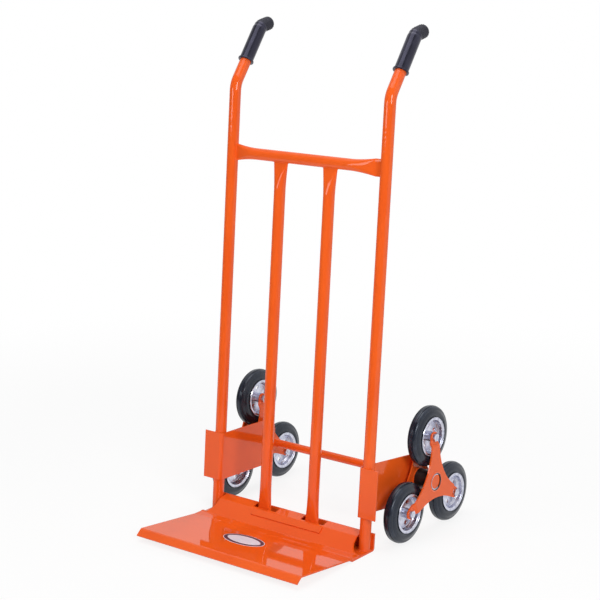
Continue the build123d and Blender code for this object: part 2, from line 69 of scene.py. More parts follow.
Colour = tuple[float, float, float]
Place = tuple[float, ...]
Span = tuple[float, float]
Feed = Union["Wire", float, int, Sequence[float]]


class Named(Enum):
    """Choice whose name stands in the names of nodes and bodies."""

    @property
    def word(self) -> str:
        """The name as nodes and bodies spell it."""
        return self.name.lower()


class Side(Named):
    """Side of the truck, with the sign of its X."""

    RIGHT = 1
    LEFT = -1


class Perch(Named):
    """Place of a wheel in its cluster, with the angle of its arm from +Y towards +Z."""

    TOP = 90.0
    FRONT = 210.0
    REAR = 330.0


@dataclass(eq=False)
class Wire:
    """One output of a shader node, with arithmetic that adds Math nodes."""

    shader: "Shader"
    node: bpy.types.Node
    socket: Optional[bpy.types.NodeSocket]

    def out(self, name: str) -> "Wire":
        """Another output of the same node."""
        return replace(self, socket=self.node.outputs[name])

    def math(self, operation: str, *terms: Feed) -> "Wire":
        """Result of a Math node on the given values, in order."""
        return self.shader.node("ShaderNodeMath", {"operation": operation}, dict(enumerate(terms)))

    def __add__(self, other: Feed) -> "Wire":
        """Sum with a value."""
        return self.math("ADD", self, other)

    def __sub__(self, other: Feed) -> "Wire":
        """Difference from a value."""
        return self.math("SUBTRACT", self, other)

    def __rsub__(self, other: Feed) -> "Wire":
        """Difference of a value from this one."""
        return self.math("SUBTRACT", other, self)

    def __mul__(self, other: Feed) -> "Wire":
        """Product with a value."""
        return self.math("MULTIPLY", self, other)

    __radd__ = __add__
    __rmul__ = __mul__

    def larger(self, other: Feed) -> "Wire":
        """Larger of this and another value."""
        return self.math("MAXIMUM", self, other)

    def wave(self, length: float) -> "Wire":
        """Sine wave of this distance between 0 and 1, one whole wave to each length."""
        return self.math("SINE", self * (2 * pi / length)) * 0.5 + 0.5

    def between(self, start: float, end: float) -> "Wire":
        """Smooth rise from 0 at the start value to 1 at the end value."""
        limits = {"Value": self, "From Min": start, "From Max": end}
        return self.shader.node("ShaderNodeMapRange", {"interpolation_type": "SMOOTHSTEP"}, limits)

    def ranged(self, low: float, high: float) -> "Wire":
        """Value that goes from low to high as this one goes from 0 to 1."""
        return low + self * (high - low)


class Shader:
    """Node tree of a material or of the world, emptied and then filled."""

    def __init__(self, owner: Union[bpy.types.Material, bpy.types.World]) -> None:
        """Takes over a node tree.

        Args:
            owner: Material or world whose nodes are replaced.
        """
        owner.use_nodes = True
        self.tree = owner.node_tree
        self.tree.nodes.clear()

    def node(self, kind: str, settings: Optional[dict] = None, inputs: Optional[dict] = None) -> Wire:
        """Adds one node.

        Args:
            kind: Node type.
            settings: Properties that are set first.
            inputs: Values or links, by socket name or number.

        Returns:
            The node's first output in use.
        """
        made = self.tree.nodes.new(kind)
        for name, value in (settings or {}).items():
            setattr(made, name, value)
        for name, feed in (inputs or {}).items():
            socket = made.inputs[name] if isinstance(name, int) else self.named(made, name)
            if isinstance(feed, Wire):
                self.tree.links.new(feed.socket, socket)
            elif socket.type == "RGBA":
                socket.default_value = (*feed, 1.0)
            else:
                socket.default_value = feed
        return Wire(self, made, next((socket for socket in made.outputs if socket.enabled), None))

    @staticmethod
    def named(node: bpy.types.Node, name: str) -> bpy.types.NodeSocket:
        """The input in use that has a name, on a node that may hold several of that name."""
        return next(socket for socket in node.inputs if socket.name == name and socket.enabled)

    def mix(self, share: Feed, first: Feed, second: Feed) -> Wire:
        """Colour that goes from the first to the second as the share goes from 0 to 1."""
        inputs = {"Factor": share, "A": first, "B": second}
        return self.node("ShaderNodeMix", {"data_type": "RGBA"}, inputs)

    def vector(self, operation: str, *terms: Feed) -> Wire:
        """Result of a Vector Math node on the given vectors, in order."""
        return self.node("ShaderNodeVectorMath", {"operation": operation}, dict(enumerate(terms)))

    def place(self, centre: Place = (0.0, 0.0, 0.0)) -> Wire:
        """Object coordinates, measured from a centre."""
        where = {"Vector": self.node("ShaderNodeTexCoord").out("Object")}
        return self.node("ShaderNodeMapping", {}, {**where, "Location": [-c for c in centre]})

    def part(self, place: Wire, axis: str) -> Wire:
        """One coordinate of a place."""
        return self.node("ShaderNodeSeparateXYZ", {}, {0: place}).out(axis)

    def from_axis(self, place: Wire) -> Wire:
        """Distance of a place from the X axis."""
        across = self.vector("MULTIPLY", place, (0.0, 1.0, 1.0))
        return self.vector("LENGTH", across).out("Value")

    def noise(self, place: Wire, grain: float, detail: float = 2.0) -> Wire:
        """Cloudy value between 0 and 1 whose patches are about one grain across."""
        inputs = {"Vector": place, "Scale": 1 / grain, "Detail": detail}
        return self.node("ShaderNodeTexNoise", {}, inputs)

    def value(self, name: str) -> Wire:
        """Value that the mesh keeps at its points under a name."""
        return self.node("ShaderNodeAttribute", {"attribute_name": name}).out("Fac")

    def bump(self, height: Wire, depth: float, under: Optional[Wire] = None) -> Wire:
        """Normal that a height between 0 and 1 gives, as deep as stated, on top of another normal."""
        base = {} if under is None else {"Normal": under}
        return self.node("ShaderNodeBump", {}, {"Height": height, "Distance": depth, **base})


@dataclass(frozen=True)
class Finish:
    """Finish of a surface: the material's name and the record's slot that it belongs to.

    In the finishes, a span is two values: the noise between which a share rises from 0 to 1, or a
    roughness, gloss or height where the noise is 0 and where it is 1.
    """

    name: str
    slot: str

    def sockets(self, shader: Shader) -> dict[str, Feed]:
        """What goes into the Principled shader.

        Args:
            shader: Node tree that takes the nodes.

        Returns:
            Values and links, by socket.
        """
        raise NotImplementedError

    def material(self) -> bpy.types.Material:
        """Looks the material up, or makes it when it is first asked for.

        Returns:
            The material of this finish's name.
        """
        found = bpy.data.materials.get(self.name)
        if found:
            return found
        made = bpy.data.materials.new(self.name)
        shader = Shader(made)
        surface = shader.node("ShaderNodeBsdfPrincipled", {}, self.sockets(shader))
        shader.node("ShaderNodeOutputMaterial", {}, {"Surface": surface})
        return made


@dataclass(frozen=True)
class Enamel(Finish):
    """Glossy orange coat baked on steel: clouded colour, orange peel, a slow sway, thinner edges and
    painted shade in inner corners.
    """

    name: str = "orange_enamel"
    slot: str = "orange_paint"
    colour: Colour = (0.87, 0.119, 0.0135)
    deep: Colour = (0.82, 0.096, 0.0095)
    thin: Colour = (0.66, 0.060, 0.010)
    cloud: float = 160 * MM
    cloud_span: Span = (0.35, 0.70)
    cloud_share: float = 0.7
    peel: float = 3.2 * MM
    peel_span: Span = (0.3, 0.8)
    peel_share: float = 0.1
    peel_depth: float = 0.03 * MM
    sway: float = 70 * MM
    sway_depth: float = 0.12 * MM
    edge: float = 0.9 * MM
    edge_samples: int = 6
    wear_span: Span = (0.01, 0.16)
    wear_share: float = 0.5
    roughness: Span = (0.55, 0.65)
    gloss: Span = (0.65, 0.75)
    coat_roughness: float = 0.035
    coat_index: float = 1.5

    def sockets(self, shader: Shader) -> dict[str, Feed]:
        """Drifts between two oranges, and is darker where the rounded normal leaves the flat one:
        thinner paint on outer edges and painted shade in inner corners and creases.

        Args:
            shader: Node tree that takes the nodes.

        Returns:
            Values and links, by socket.
        """
        place = shader.place()
        clouds = shader.noise(place, self.cloud)
        peel = shader.noise(place, self.peel, detail=1.0)
        sway = shader.noise(place, self.sway, detail=1.0)
        soft = shader.node("ShaderNodeBevel", {"samples": self.edge_samples}, {"Radius": self.edge})
        flat = shader.node("ShaderNodeNewGeometry").out("Normal")
        # Where the bevel's rounded normal leaves the flat one: thinner paint on outer edges, and
        # painted shade in inner corners and creases.
        edge_wear_and_crease_shade = (1 - shader.vector("DOT_PRODUCT", soft, flat).out("Value")).between(*self.wear_span)
        drift = clouds.between(*self.cloud_span) * self.cloud_share
        drift = drift + peel.between(*self.peel_span) * self.peel_share
        colour = shader.mix(drift, self.colour, self.deep)
        return {
            "Base Color": shader.mix(edge_wear_and_crease_shade * self.wear_share, colour, self.thin),
            "Roughness": peel.ranged(*self.roughness),
            "Specular IOR Level": 0.0,
            "Coat Weight": clouds.ranged(*self.gloss),
            "Coat Roughness": self.coat_roughness,
            "Coat IOR": self.coat_index,
            "Normal": shader.bump(peel, self.peel_depth, shader.bump(sway, self.sway_depth, soft)),
        }


@dataclass(frozen=True)
class Zinc(Finish):
    """Bright zinc plate on pressed or turned steel, with faint rings about its own axis."""

    slot: str = "zinc_steel"
    centre: Place = (0.0, 0.0, 0.0)
    bright: Colour = (0.68, 0.69, 0.80)
    dull: Colour = (0.46, 0.48, 0.58)
    warm: Colour = (0.58, 0.56, 0.60)
    spangle: float = 9 * MM
    spangle_span: Span = (0.38, 0.66)
    tint: float = 36 * MM
    tint_span: Span = (0.5, 0.75)
    tint_share: float = 0.5
    ring: float = 2.6 * MM
    ring_wobble: float = 0.3 * MM
    ring_share: float = 0.6
    ring_roughness: float = 0.05
    grains_per_ring: float = 4.0
    depth: float = 0.02 * MM
    roughness: Span = (0.20, 0.30)

    def sockets(self, shader: Shader) -> dict[str, Feed]:
        """Rings follow the distance from the X axis through the centre; spangle follows cloudy noise.

        Args:
            shader: Node tree that takes the nodes.

        Returns:
            Values and links, by socket.
        """
        place = shader.place(self.centre)
        spangle = shader.noise(place, self.spangle, detail=3.0)
        tint = shader.noise(place, self.tint)
        grain = shader.noise(place, self.ring / self.grains_per_ring)
        rings = (shader.from_axis(place) + spangle * self.ring_wobble).wave(self.ring)
        steel = shader.mix(spangle.between(*self.spangle_span), self.bright, self.dull)
        height = rings * self.ring_share + grain * (1 - self.ring_share)
        return {
            "Base Color": shader.mix(tint.between(*self.tint_span) * self.tint_share, steel, self.warm),
            "Metallic": 1.0,
            "Roughness": spangle.ranged(*self.roughness) + rings * self.ring_roughness,
            "Normal": shader.bump(height, self.depth),
        }


@dataclass(frozen=True)
class TyreRubber(Finish):
    """Solid black rubber: a satin skin with mould rings and fine pits, dustier and lighter on the
    tread, partly as painted sheen.
    """

    name: str = "tyre_rubber_skin"
    slot: str = "tyre_rubber"
    black: Colour = (0.006, 0.008, 0.016)
    bloom: Colour = (0.030, 0.036, 0.055)
    sheen: Colour = (0.80, 0.88, 1.0)
    patch: float = 24 * MM
    patch_span: Span = (0.42, 0.72)
    pit: float = 1.1 * MM
    pit_span: Span = (0.55, 0.8)
    pit_share: float = 0.25
    pit_roughness: float = 0.05
    ring: float = 1.4 * MM
    ring_share: float = 0.25
    wall_dust: float = 0.5
    tread_dust: Span = (0.15, 0.50)
    depth: float = 0.05 * MM
    roughness: Span = (0.16, 0.28)

    def sockets(self, shader: Shader) -> dict[str, Feed]:
        """Rings follow the length along the section; dust follows cloudy noise and the value "tread",
        and is heavier on the running face, partly as painted sheen.

        Args:
            shader: Node tree that takes the nodes.

        Returns:
            Values and links, by socket.
        """
        place = shader.place()
        patch = shader.noise(place, self.patch, detail=4.0)
        pits = shader.noise(place, self.pit, detail=1.0)
        rings = shader.value("along").wave(self.ring)
        dust = patch.between(*self.patch_span) * (1 - self.pit_share)
        dust = dust + pits.between(*self.pit_span) * self.pit_share
        # Lighter running face: partly dust, partly painted sheen in place of the tread's highlights.
        dust = dust * self.wall_dust + shader.value("tread") * dust.ranged(*self.tread_dust)
        height = rings * self.ring_share + pits * (1 - self.ring_share)
        return {
            "Base Color": shader.mix(dust, self.black, self.bloom),
            "Roughness": patch.ranged(*self.roughness) + pits * self.pit_roughness,
            "Specular Tint": self.sheen,
            "Normal": shader.bump(height, self.depth),
        }


@dataclass(frozen=True)
class GripRubber(Finish):
    """Soft black grip: a smooth sleeve with a bluish gloss and lighter bluish streaks that are partly
    painted sheen, and a matt knurled tip.
    """

    name: str = "grip_rubber_skin"
    slot: str = "grip_rubber"
    sleeve: Colour = (0.011, 0.011, 0.017)
    # Colour of the lighter streaks: partly drawn marks, partly painted sheen.
    drawn: Colour = (0.029, 0.029, 0.045)
    tip: Colour = (0.009, 0.0095, 0.0105)
    sheen: Colour = (0.72, 0.70, 1.0)
    streak: float = 14 * MM
    streak_scale: tuple[float, float, float] = (1.0, 0.35, 0.25)
    streak_span: Span = (0.4, 0.7)
    pit: float = 0.9 * MM
    pit_height: Span = (0.25, 1.0)
    depth: float = 0.05 * MM
    roughness: Span = (0.17, 0.27)
    tip_roughness: float = 0.32

    def sockets(self, shader: Shader) -> dict[str, Feed]:
        """The point value "tip" is 1 on the knurled end and turns gloss into a matt, pitted skin.

        Args:
            shader: Node tree that takes the nodes.

        Returns:
            Values and links, by socket.
        """
        place = shader.place()
        stretched = shader.node("ShaderNodeMapping", {}, {"Vector": place, "Scale": self.streak_scale})
        streaks = shader.noise(stretched, self.streak, detail=3.0)
        pits = shader.noise(place, self.pit, detail=1.0)
        tip = shader.value("tip")
        # Lighter bluish streaks over the sleeve: partly drawn marks, partly painted sheen.
        smooth = shader.mix(streaks.between(*self.streak_span), self.sleeve, self.drawn)
        return {
            "Base Color": shader.mix(tip, smooth, self.tip),
            "Roughness": streaks.ranged(*self.roughness) + tip * self.tip_roughness,
            "Specular Tint": self.sheen,
            "Normal": shader.bump(pits * tip.ranged(*self.pit_height), self.depth),
        }


@dataclass(frozen=True)
class BlackSteel(Finish):
    """Satin black steel of the hub tubes, greasy and dusty; its near black is partly painted shade
    inside the cluster. The end is painted, with a black ring of painted shade left round its mouth.
    """

    name: str = "black_steel_tube"
    slot: str = "black_steel"
    # Near black, partly painted shade for the dark inside of the cluster.
    black: Colour = (0.010, 0.010, 0.012)
    dusty: Colour = (0.040, 0.036, 0.034)
    dust_span: Span = (0.45, 0.75)
    paint: Colour = Enamel.colour
    paint_gloss: float = 0.70
    paint_start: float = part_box("spider_outer_right")[1].x
    paint_soft: float = 0.2 * MM
    # Radius inside which the mouth stays black, as a ring of painted shade round the snap ring.
    bare_radius: float = 23.4 * MM
    patch: float = 11 * MM
    grain: float = 0.8 * MM
    depth: float = 0.03 * MM
    roughness: Span = (0.30, 0.50)
    level: float = 0.4

    def sockets(self, shader: Shader) -> dict[str, Feed]:
        """Dust and gloss follow a noise; paint starts past distances from the middle and the axle, so a
        black ring stays at the mouth as painted shade.

        Args:
            shader: Node tree that takes the nodes.

        Returns:
            Values and links, by socket.
        """
        place = shader.place()
        patch = shader.noise(place, self.patch, detail=3.0)
        grain = shader.noise(place, self.grain, detail=1.0)
        across = shader.part(place, "X")
        aside = across.math("ABSOLUTE", across)
        painted = aside.between(self.paint_start - self.paint_soft, self.paint_start)
        # Inside this radius the mouth stays black: a ring of painted shade round the snap ring.
        radius = shader.from_axis(shader.place(AXLE))
        painted = painted * radius.between(self.bare_radius, self.bare_radius + self.paint_soft)
        steel = shader.mix(patch.between(*self.dust_span), self.black, self.dusty)
        return {
            "Base Color": shader.mix(painted, steel, self.paint),
            "Roughness": patch.ranged(*self.roughness),
            "Specular IOR Level": self.level,
            "Coat Weight": painted * self.paint_gloss,
            "Normal": shader.bump(grain, self.depth),
        }


@dataclass(frozen=True)
class Clouded(Finish):
    """Plain satin finish: a colour that drifts in clouds, and one fine grain in gloss and height."""

    pale: Colour
    deep: Colour
    cloud: float
    grain: float
    depth: float
    roughness: Span

    def sockets(self, shader: Shader) -> dict[str, Feed]:
        """Drifts between two colours with cloudy noise; gloss and height follow fine noise.

        Args:
            shader: Node tree that takes the nodes.

        Returns:
            Values and links, by socket.
        """
        place = shader.place()
        clouds = shader.noise(place, self.cloud)
        grain = shader.noise(place, self.grain)
        return {
            "Base Color": shader.mix(clouds, self.pale, self.deep),
            "Roughness": grain.ranged(*self.roughness),
            "Normal": shader.bump(grain, self.depth),
        }


@dataclass(frozen=True)
class Nylon(Clouded):
    """Natural nylon of the plain bushes, with fine turning marks."""

    name: str = "natural_nylon"
    slot: str = "nylon"
    pale: Colour = (0.72, 0.70, 0.62)
    deep: Colour = (0.62, 0.58, 0.46)
    cloud: float = 7 * MM
    grain: float = 0.5 * MM
    depth: float = 0.02 * MM
    roughness: Span = (0.40, 0.55)


@dataclass(frozen=True)
class OvalFoil(Clouded):
    """Pale foil of the oval plate, with a dark band just inside its edge and nothing else on it."""

    name: str = "oval_foil"
    slot: str = "label"
    pale: Colour = (0.80, 0.77, 0.83)
    deep: Colour = (0.70, 0.67, 0.76)
    cloud: float = 22 * MM
    grain: float = 1.0 * MM
    depth: float = 0.01 * MM
    roughness: Span = (0.30, 0.42)
    band: Colour = (0.030, 0.018, 0.045)
    band_start: float = 1.5 * MM
    band_end: float = 11.0 * MM
    band_soft: float = 0.3 * MM

    def sockets(self, shader: Shader) -> dict[str, Feed]:
        """The point value "inset" is the distance from the edge, which places the band.

        Args:
            shader: Node tree that takes the nodes.

        Returns:
            Values and links, by socket.
        """
        made = super().sockets(shader)
        inset = shader.value("inset")
        band = inset.between(self.band_start, self.band_start + self.band_soft)
        band = band - inset.between(self.band_end, self.band_end + self.band_soft)
        return {**made, "Base Color": shader.mix(band, made["Base Color"], self.band)}


ENAMEL = Enamel()
BLACK_STEEL = BlackSteel()
TYRE = TyreRubber()
GRIP = GripRubber()
NYLON = Nylon()
FOIL = OvalFoil()


def linked(name: str, data: bpy.types.ID) -> bpy.types.Object:
    """Adds an object to the scene.

    Args:
        name: Name of the object.
        data: Mesh, lamp or camera that it holds.

    Returns:
        The object, at the origin.
    """
    made = bpy.data.objects.new(name, data)
    bpy.context.scene.collection.objects.link(made)
    return made


def aimed(name: str, data: bpy.types.ID, at: Sequence[float], aim: Sequence[float]) -> bpy.types.Object:
    """Adds a lamp or a camera that looks at a point.

    Args:
        name: Name of the object.
        data: Lamp or camera that it holds.
        at: Where it stands.
        aim: The point that it looks at.

    Returns:
        The object in its place.
    """
    made = linked(name, data)
    made.location = at
    made.rotation_euler = (Vector(aim) - Vector(at)).to_track_quat("-Z", "Y").to_euler()
    return made


def dress(finish: Finish, *nodes: str) -> None:
    """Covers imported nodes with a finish.

    Args:
        finish: What covers them.
        nodes: Names of the nodes.
    """
    for node in nodes:
        for slot in frame["nodes"][node].material_slots:
            slot.material = finish.material()
        LOG.info("dressed %s in %s", node, finish.name)


@dataclass
class Skin:
    """Polygons of one surface as whole arrays, with named values at its points.

    Attributes:
        points: Places, one row of three to a point.
        corners: Point numbers of all polygons, one after the other.
        counts: Number of corners of each polygon.
        values: Named numbers, one to a point.
    """

    points: np.ndarray
    corners: np.ndarray
    counts: np.ndarray
    values: dict[str, np.ndarray] = field(default_factory=dict)

    @classmethod
    def grid(cls, points: np.ndarray, loop: bool = False, values: Optional[dict] = None) -> "Skin":
        """Quads over a grid of points whose last column joins its first.

        Args:
            points: Rows by columns by three.
            loop: True where the last row joins the first; otherwise both end rows are closed flat.
            values: Named numbers, rows by columns.

        Returns:
            The closed surface, facing outwards.
        """
        rows, columns = points.shape[:2]
        numbers = np.arange(rows * columns).reshape(rows, columns)
        ring = np.concatenate([numbers, numbers[:, :1]], axis=1)
        if loop:
            ring = np.concatenate([ring, ring[:1]], axis=0)
        quads = np.stack([ring[:-1, :-1], ring[:-1, 1:], ring[1:, 1:], ring[1:, :-1]], axis=-1)
        corners = [quads.ravel()]
        counts = [np.full(quads.size // 4, 4)]
        if not loop:
            corners += [numbers[0, ::-1], numbers[-1]]
            counts.append(np.full(2, columns))
        kept = {name: value.ravel() for name, value in (values or {}).items()}
        skin = cls(points.reshape(-1, 3), np.concatenate(corners), np.concatenate(counts), kept)
        return skin.outward()

    @classmethod
    def joined(cls, skins: Sequence["Skin"]) -> "Skin":
        """Puts several surfaces into one.

        Args:
            skins: The surfaces, all with values of the same names.

        Returns:
            One surface with all their points and polygons.
        """
        sizes = np.cumsum([0] + [len(skin.points) for skin in skins[:-1]])
        corners = np.concatenate([skin.corners + size for skin, size in zip(skins, sizes)])
        names = skins[0].values
        values = {name: np.concatenate([skin.values[name] for skin in skins]) for name in names}
        points = np.concatenate([skin.points for skin in skins])
        return cls(points, corners, np.concatenate([skin.counts for skin in skins]), values)

    def starts(self) -> np.ndarray:
        """Place of each polygon's first corner in the list of corners."""
        return np.cumsum(self.counts) - self.counts

    def owners(self) -> np.ndarray:
        """Number of the polygon that each corner belongs to."""
        return np.repeat(np.arange(len(self.counts)), self.counts)

    def turned(self) -> "Skin":
        """The same surface with its polygons facing the other way."""
        back = (2 * self.starts() + self.counts - 1)[self.owners()] - np.arange(len(self.corners))
        return replace(self, corners=self.corners[back])

    def outward(self) -> "Skin":
        """Turns the surface so that the volume it encloses is positive.

        The volume is the sum over polygon edges of the triple product of the polygon's first point
        and the edge's two points, divided by six.

        Returns:
            The surface, facing outwards.
        """
        step = np.arange(len(self.corners)) + 1
        step[self.starts() + self.counts - 1] = self.starts()
        centred = self.points - self.points.mean(axis=0)
        first = centred[self.corners[self.starts()[self.owners()]]]
        edge = np.cross(centred[self.corners], centred[self.corners[step]])
        return self if np.sum(first * edge) > 0 else self.turned()

    def sided(self, side: Side) -> "Skin":
        """The surface as drawn for the right side, or its mirror image for the left."""
        mirrored = replace(self, points=self.points * np.array([side.value, 1.0, 1.0]))
        return self if side is Side.RIGHT else mirrored.turned()

    def piece(
        self, name: str, finish: Finish, body: str, nodes: Sequence[str] = (), crease: float = CREASE
    ) -> None:
        """Puts the surface into the scene as a piece of the truck.

        Args:
            name: Name of the piece.
            finish: What covers it.
            body: Body that it moves with.
            nodes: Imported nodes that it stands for.
            crease: Angle between faces above which an edge stays sharp.
        """
        mesh = bpy.data.meshes.new(name)
        mesh.vertices.add(len(self.points))
        mesh.vertices.foreach_set("co", self.points.astype(np.float32).ravel())
        mesh.loops.add(len(self.corners))
        mesh.loops.foreach_set("vertex_index", self.corners.astype(np.int32))
        mesh.polygons.add(len(self.counts))
        mesh.polygons.foreach_set("loop_start", self.starts().astype(np.int32))
        mesh.update(calc_edges=True)
        for label, value in self.values.items():
            kept = mesh.attributes.new(label, "FLOAT", "POINT")
            kept.data.foreach_set("value", value.astype(np.float32))
        mesh.shade_smooth()
        mesh.set_sharp_from_angle(angle=radians(crease))
        mesh.materials.append(finish.material())
        made = linked(name, mesh)
        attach(made, body)
        if nodes:
            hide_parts(*nodes)
        LOG.info("made %s: %d points, %d faces, on %s", name, len(self.points), len(self.counts), body)

    def side_piece(
        self, side: Side, name: str, finish: Finish, body: str, node: str = "", crease: float = CREASE
    ) -> None:
        """Puts the surface, as drawn for the right side, into the scene on a side.

        Args:
            side: Side that it stands on, whose word ends its name and its node's.
            name: Name of the piece, before the side.
            finish: What covers it.
            body: Body that it moves with.
            node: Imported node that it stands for, before the side, or nothing.
            crease: Angle between faces above which an edge stays sharp.
        """
        nodes = [f"{node}_{side.word}"] if node else []
        self.sided(side).piece(f"{name}_{side.word}", finish, body, nodes, crease)


def smooth_step(value: np.ndarray) -> np.ndarray:
    """Rise from 0 to 1 as t goes from 0 to 1, level at both ends: t squared times (3 - 2t)."""
    share = np.clip(value, 0.0, 1.0)
    return share * share * (3 - 2 * share)


def around(columns: int) -> np.ndarray:
    """Angles of evenly spaced columns round a full turn, in radians."""
    return np.linspace(0.0, 2 * pi, columns, endpoint=False)


def unit(vectors: np.ndarray) -> np.ndarray:
    """Directions of vectors, one row to each: the vector divided by its length."""
    return vectors / np.linalg.norm(vectors, axis=1, keepdims=True)


def rounded(corners: Sequence[Sequence[float]], radii: Sequence[float], steps: int = 8) -> np.ndarray:
    """Open outline through corners, with an arc at each inner corner.

    With unit directions a and b from a corner to its neighbours and h half the angle between them,
    the arc of radius r starts and ends r / tan h from the corner and its centre lies r / sin h along
    the bisector. Points on the arc blend the two radii by the sines of the angles to them.

    Args:
        corners: Points of the outline.
        radii: Radius at each inner corner, over 0.
        steps: Points on each arc, less one.

    Returns:
        Points of the outline, one row of two to a point.
    """
    places = np.array(corners, float)
    size = np.array(radii, float)[:, None]
    middle = places[1:-1]
    back = unit(places[:-2] - middle)
    onward = unit(places[2:] - middle)
    half = np.arccos(np.clip(np.sum(back * onward, axis=1, keepdims=True), -1, 1)) / 2
    centre = middle + unit(back + onward) * size / np.sin(half)
    reach = size / np.tan(half)
    start = middle + back * reach - centre
    end = middle + onward * reach - centre
    sweep = (pi - 2 * half)[:, :, None]
    share = np.linspace(0, 1, steps + 1)[None, :, None]
    blend = np.sin((1 - share) * sweep) * start[:, None] + np.sin(share * sweep) * end[:, None]
    arcs = centre[:, None] + blend / np.sin(sweep)
    return np.concatenate([places[:1], arcs.reshape(-1, 2), places[-1:]])


def divided(outline: np.ndarray, longest: float) -> np.ndarray:
    """Adds points to an outline, evenly on each of its straight steps.

    Args:
        outline: Points, one row of two to each.
        longest: Length that no step is to pass.

    Returns:
        The outline with its old points and the new ones between them.
    """
    jumps = np.diff(outline, axis=0)
    counts = np.maximum(1, np.ceil(np.linalg.norm(jumps, axis=1) / longest)).astype(int)
    first = np.repeat(np.cumsum(counts) - counts, counts)
    share = (np.arange(counts.sum()) - first) / np.repeat(counts, counts)
    filled = np.repeat(outline[:-1], counts, axis=0) + np.repeat(jumps, counts, axis=0) * share[:, None]
    return np.concatenate([filled, outline[-1:]])


def lathe(outline: np.ndarray, centre: Place, columns: int) -> np.ndarray:
    """Turns an outline about the X axis through a centre: Y = r cos t and Z = r sin t.

    Args:
        outline: Points of (along X, radius), one row to each.
        centre: Place that the outline is measured from.
        columns: Points round the turn.

    Returns:
        Grid of points, rows by columns by three.
    """
    turn = around(columns)
    along = np.repeat(outline[:, :1], columns, axis=1)
    grid = np.stack([along, outline[:, 1:] * np.cos(turn), outline[:, 1:] * np.sin(turn)], axis=-1)
    return grid + np.array(centre)


def bar_radius(node: str) -> float:
    """Radius of a packed tube or bar that lies along X."""
    low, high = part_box(node)
    return (high.z - low.z) / 2


@dataclass(frozen=True)
class Bead:
    """Painted weld bead, with the overlapping ripples that a moving torch leaves.

    Attributes:
        radius: Half the bead's thickness.
        pitch: Distance from one ripple to the next.
        ripple: Height of a ripple, as a share of the radius.
        crest: Place of a ripple's crest, as a share of the pitch.
        crescent: How far a ripple's sides trail behind its middle, in ripples.
        wander: Slow change of thickness, as a share of the radius.
        wander_length: Length of that slow change.
        end_thickness: Square of the thickness left at an open end, as a share.
        columns: Points round the bead.
        rows: Points along one ripple.
        fewest: Fewest points along a bead.
    """

    radius: float = 1.7 * MM
    pitch: float = 2.2 * MM
    ripple: float = 0.22
    crest: float = 0.7
    crescent: float = 0.45
    wander: float = 0.10
    wander_length: float = 19 * MM
    end_thickness: float = 0.02
    columns: int = 14
    rows: int = 6
    fewest: int = 8

    def along(self, path: np.ndarray, level: Sequence[float], loop: bool = False) -> Skin:
        """Bead along a path.

        The radius at length s and angle a is r (1 + ripple * tooth(s / pitch + crescent cos a)
        + wander * sin(2 pi s / wander length)), where tooth rises slowly and falls fast. An open
        bead's ends are drawn in as quarter circles.

        Args:
            path: Points of the seam.
            level: Direction that the path never runs along.
            loop: True where the path is closed.

        Returns:
            The bead's surface.
        """
        closed = np.concatenate([path, path[:1]]) if loop else path
        steps = np.linalg.norm(np.diff(closed, axis=0), axis=1)
        length = np.concatenate([[0.0], np.cumsum(steps)])
        whole = length[-1]
        count = max(self.fewest, int(whole / self.pitch * self.rows))
        stations = np.linspace(0.0, whole, count, endpoint=not loop)
        line = np.stack([np.interp(stations, length, closed[:, n]) for n in range(3)], axis=1)
        past_ends = np.roll(line, -1, axis=0) - np.roll(line, 1, axis=0)
        ahead = unit(past_ends if loop else np.gradient(line, axis=0))
        side = unit(np.cross(ahead, np.array(level, float)))
        up = np.cross(side, ahead)
        turn = around(self.columns)
        ripples = max(1, round(whole / self.pitch))
        phase = (stations[:, None] / whole * ripples + self.crescent * np.cos(turn)) % 1.0
        tooth = np.minimum(phase / self.crest, (1 - phase) / (1 - self.crest))
        drifts = max(1, round(whole / self.wander_length))
        drift = np.sin(2 * pi * drifts * stations / whole)[:, None]
        thick = self.radius * (1 + self.ripple * (tooth - 0.5) + self.wander * drift)
        if not loop:
            short = 1 - np.minimum(np.minimum(stations, whole - stations) / self.radius, 1.0)
            thick = thick * np.sqrt(np.clip(1 - short ** 2, self.end_thickness, 1.0))[:, None]
        out = np.cos(turn)[None, :, None] * side[:, None] + np.sin(turn)[None, :, None] * up[:, None]
        return Skin.grid(line[:, None] + thick[..., None] * out, loop)


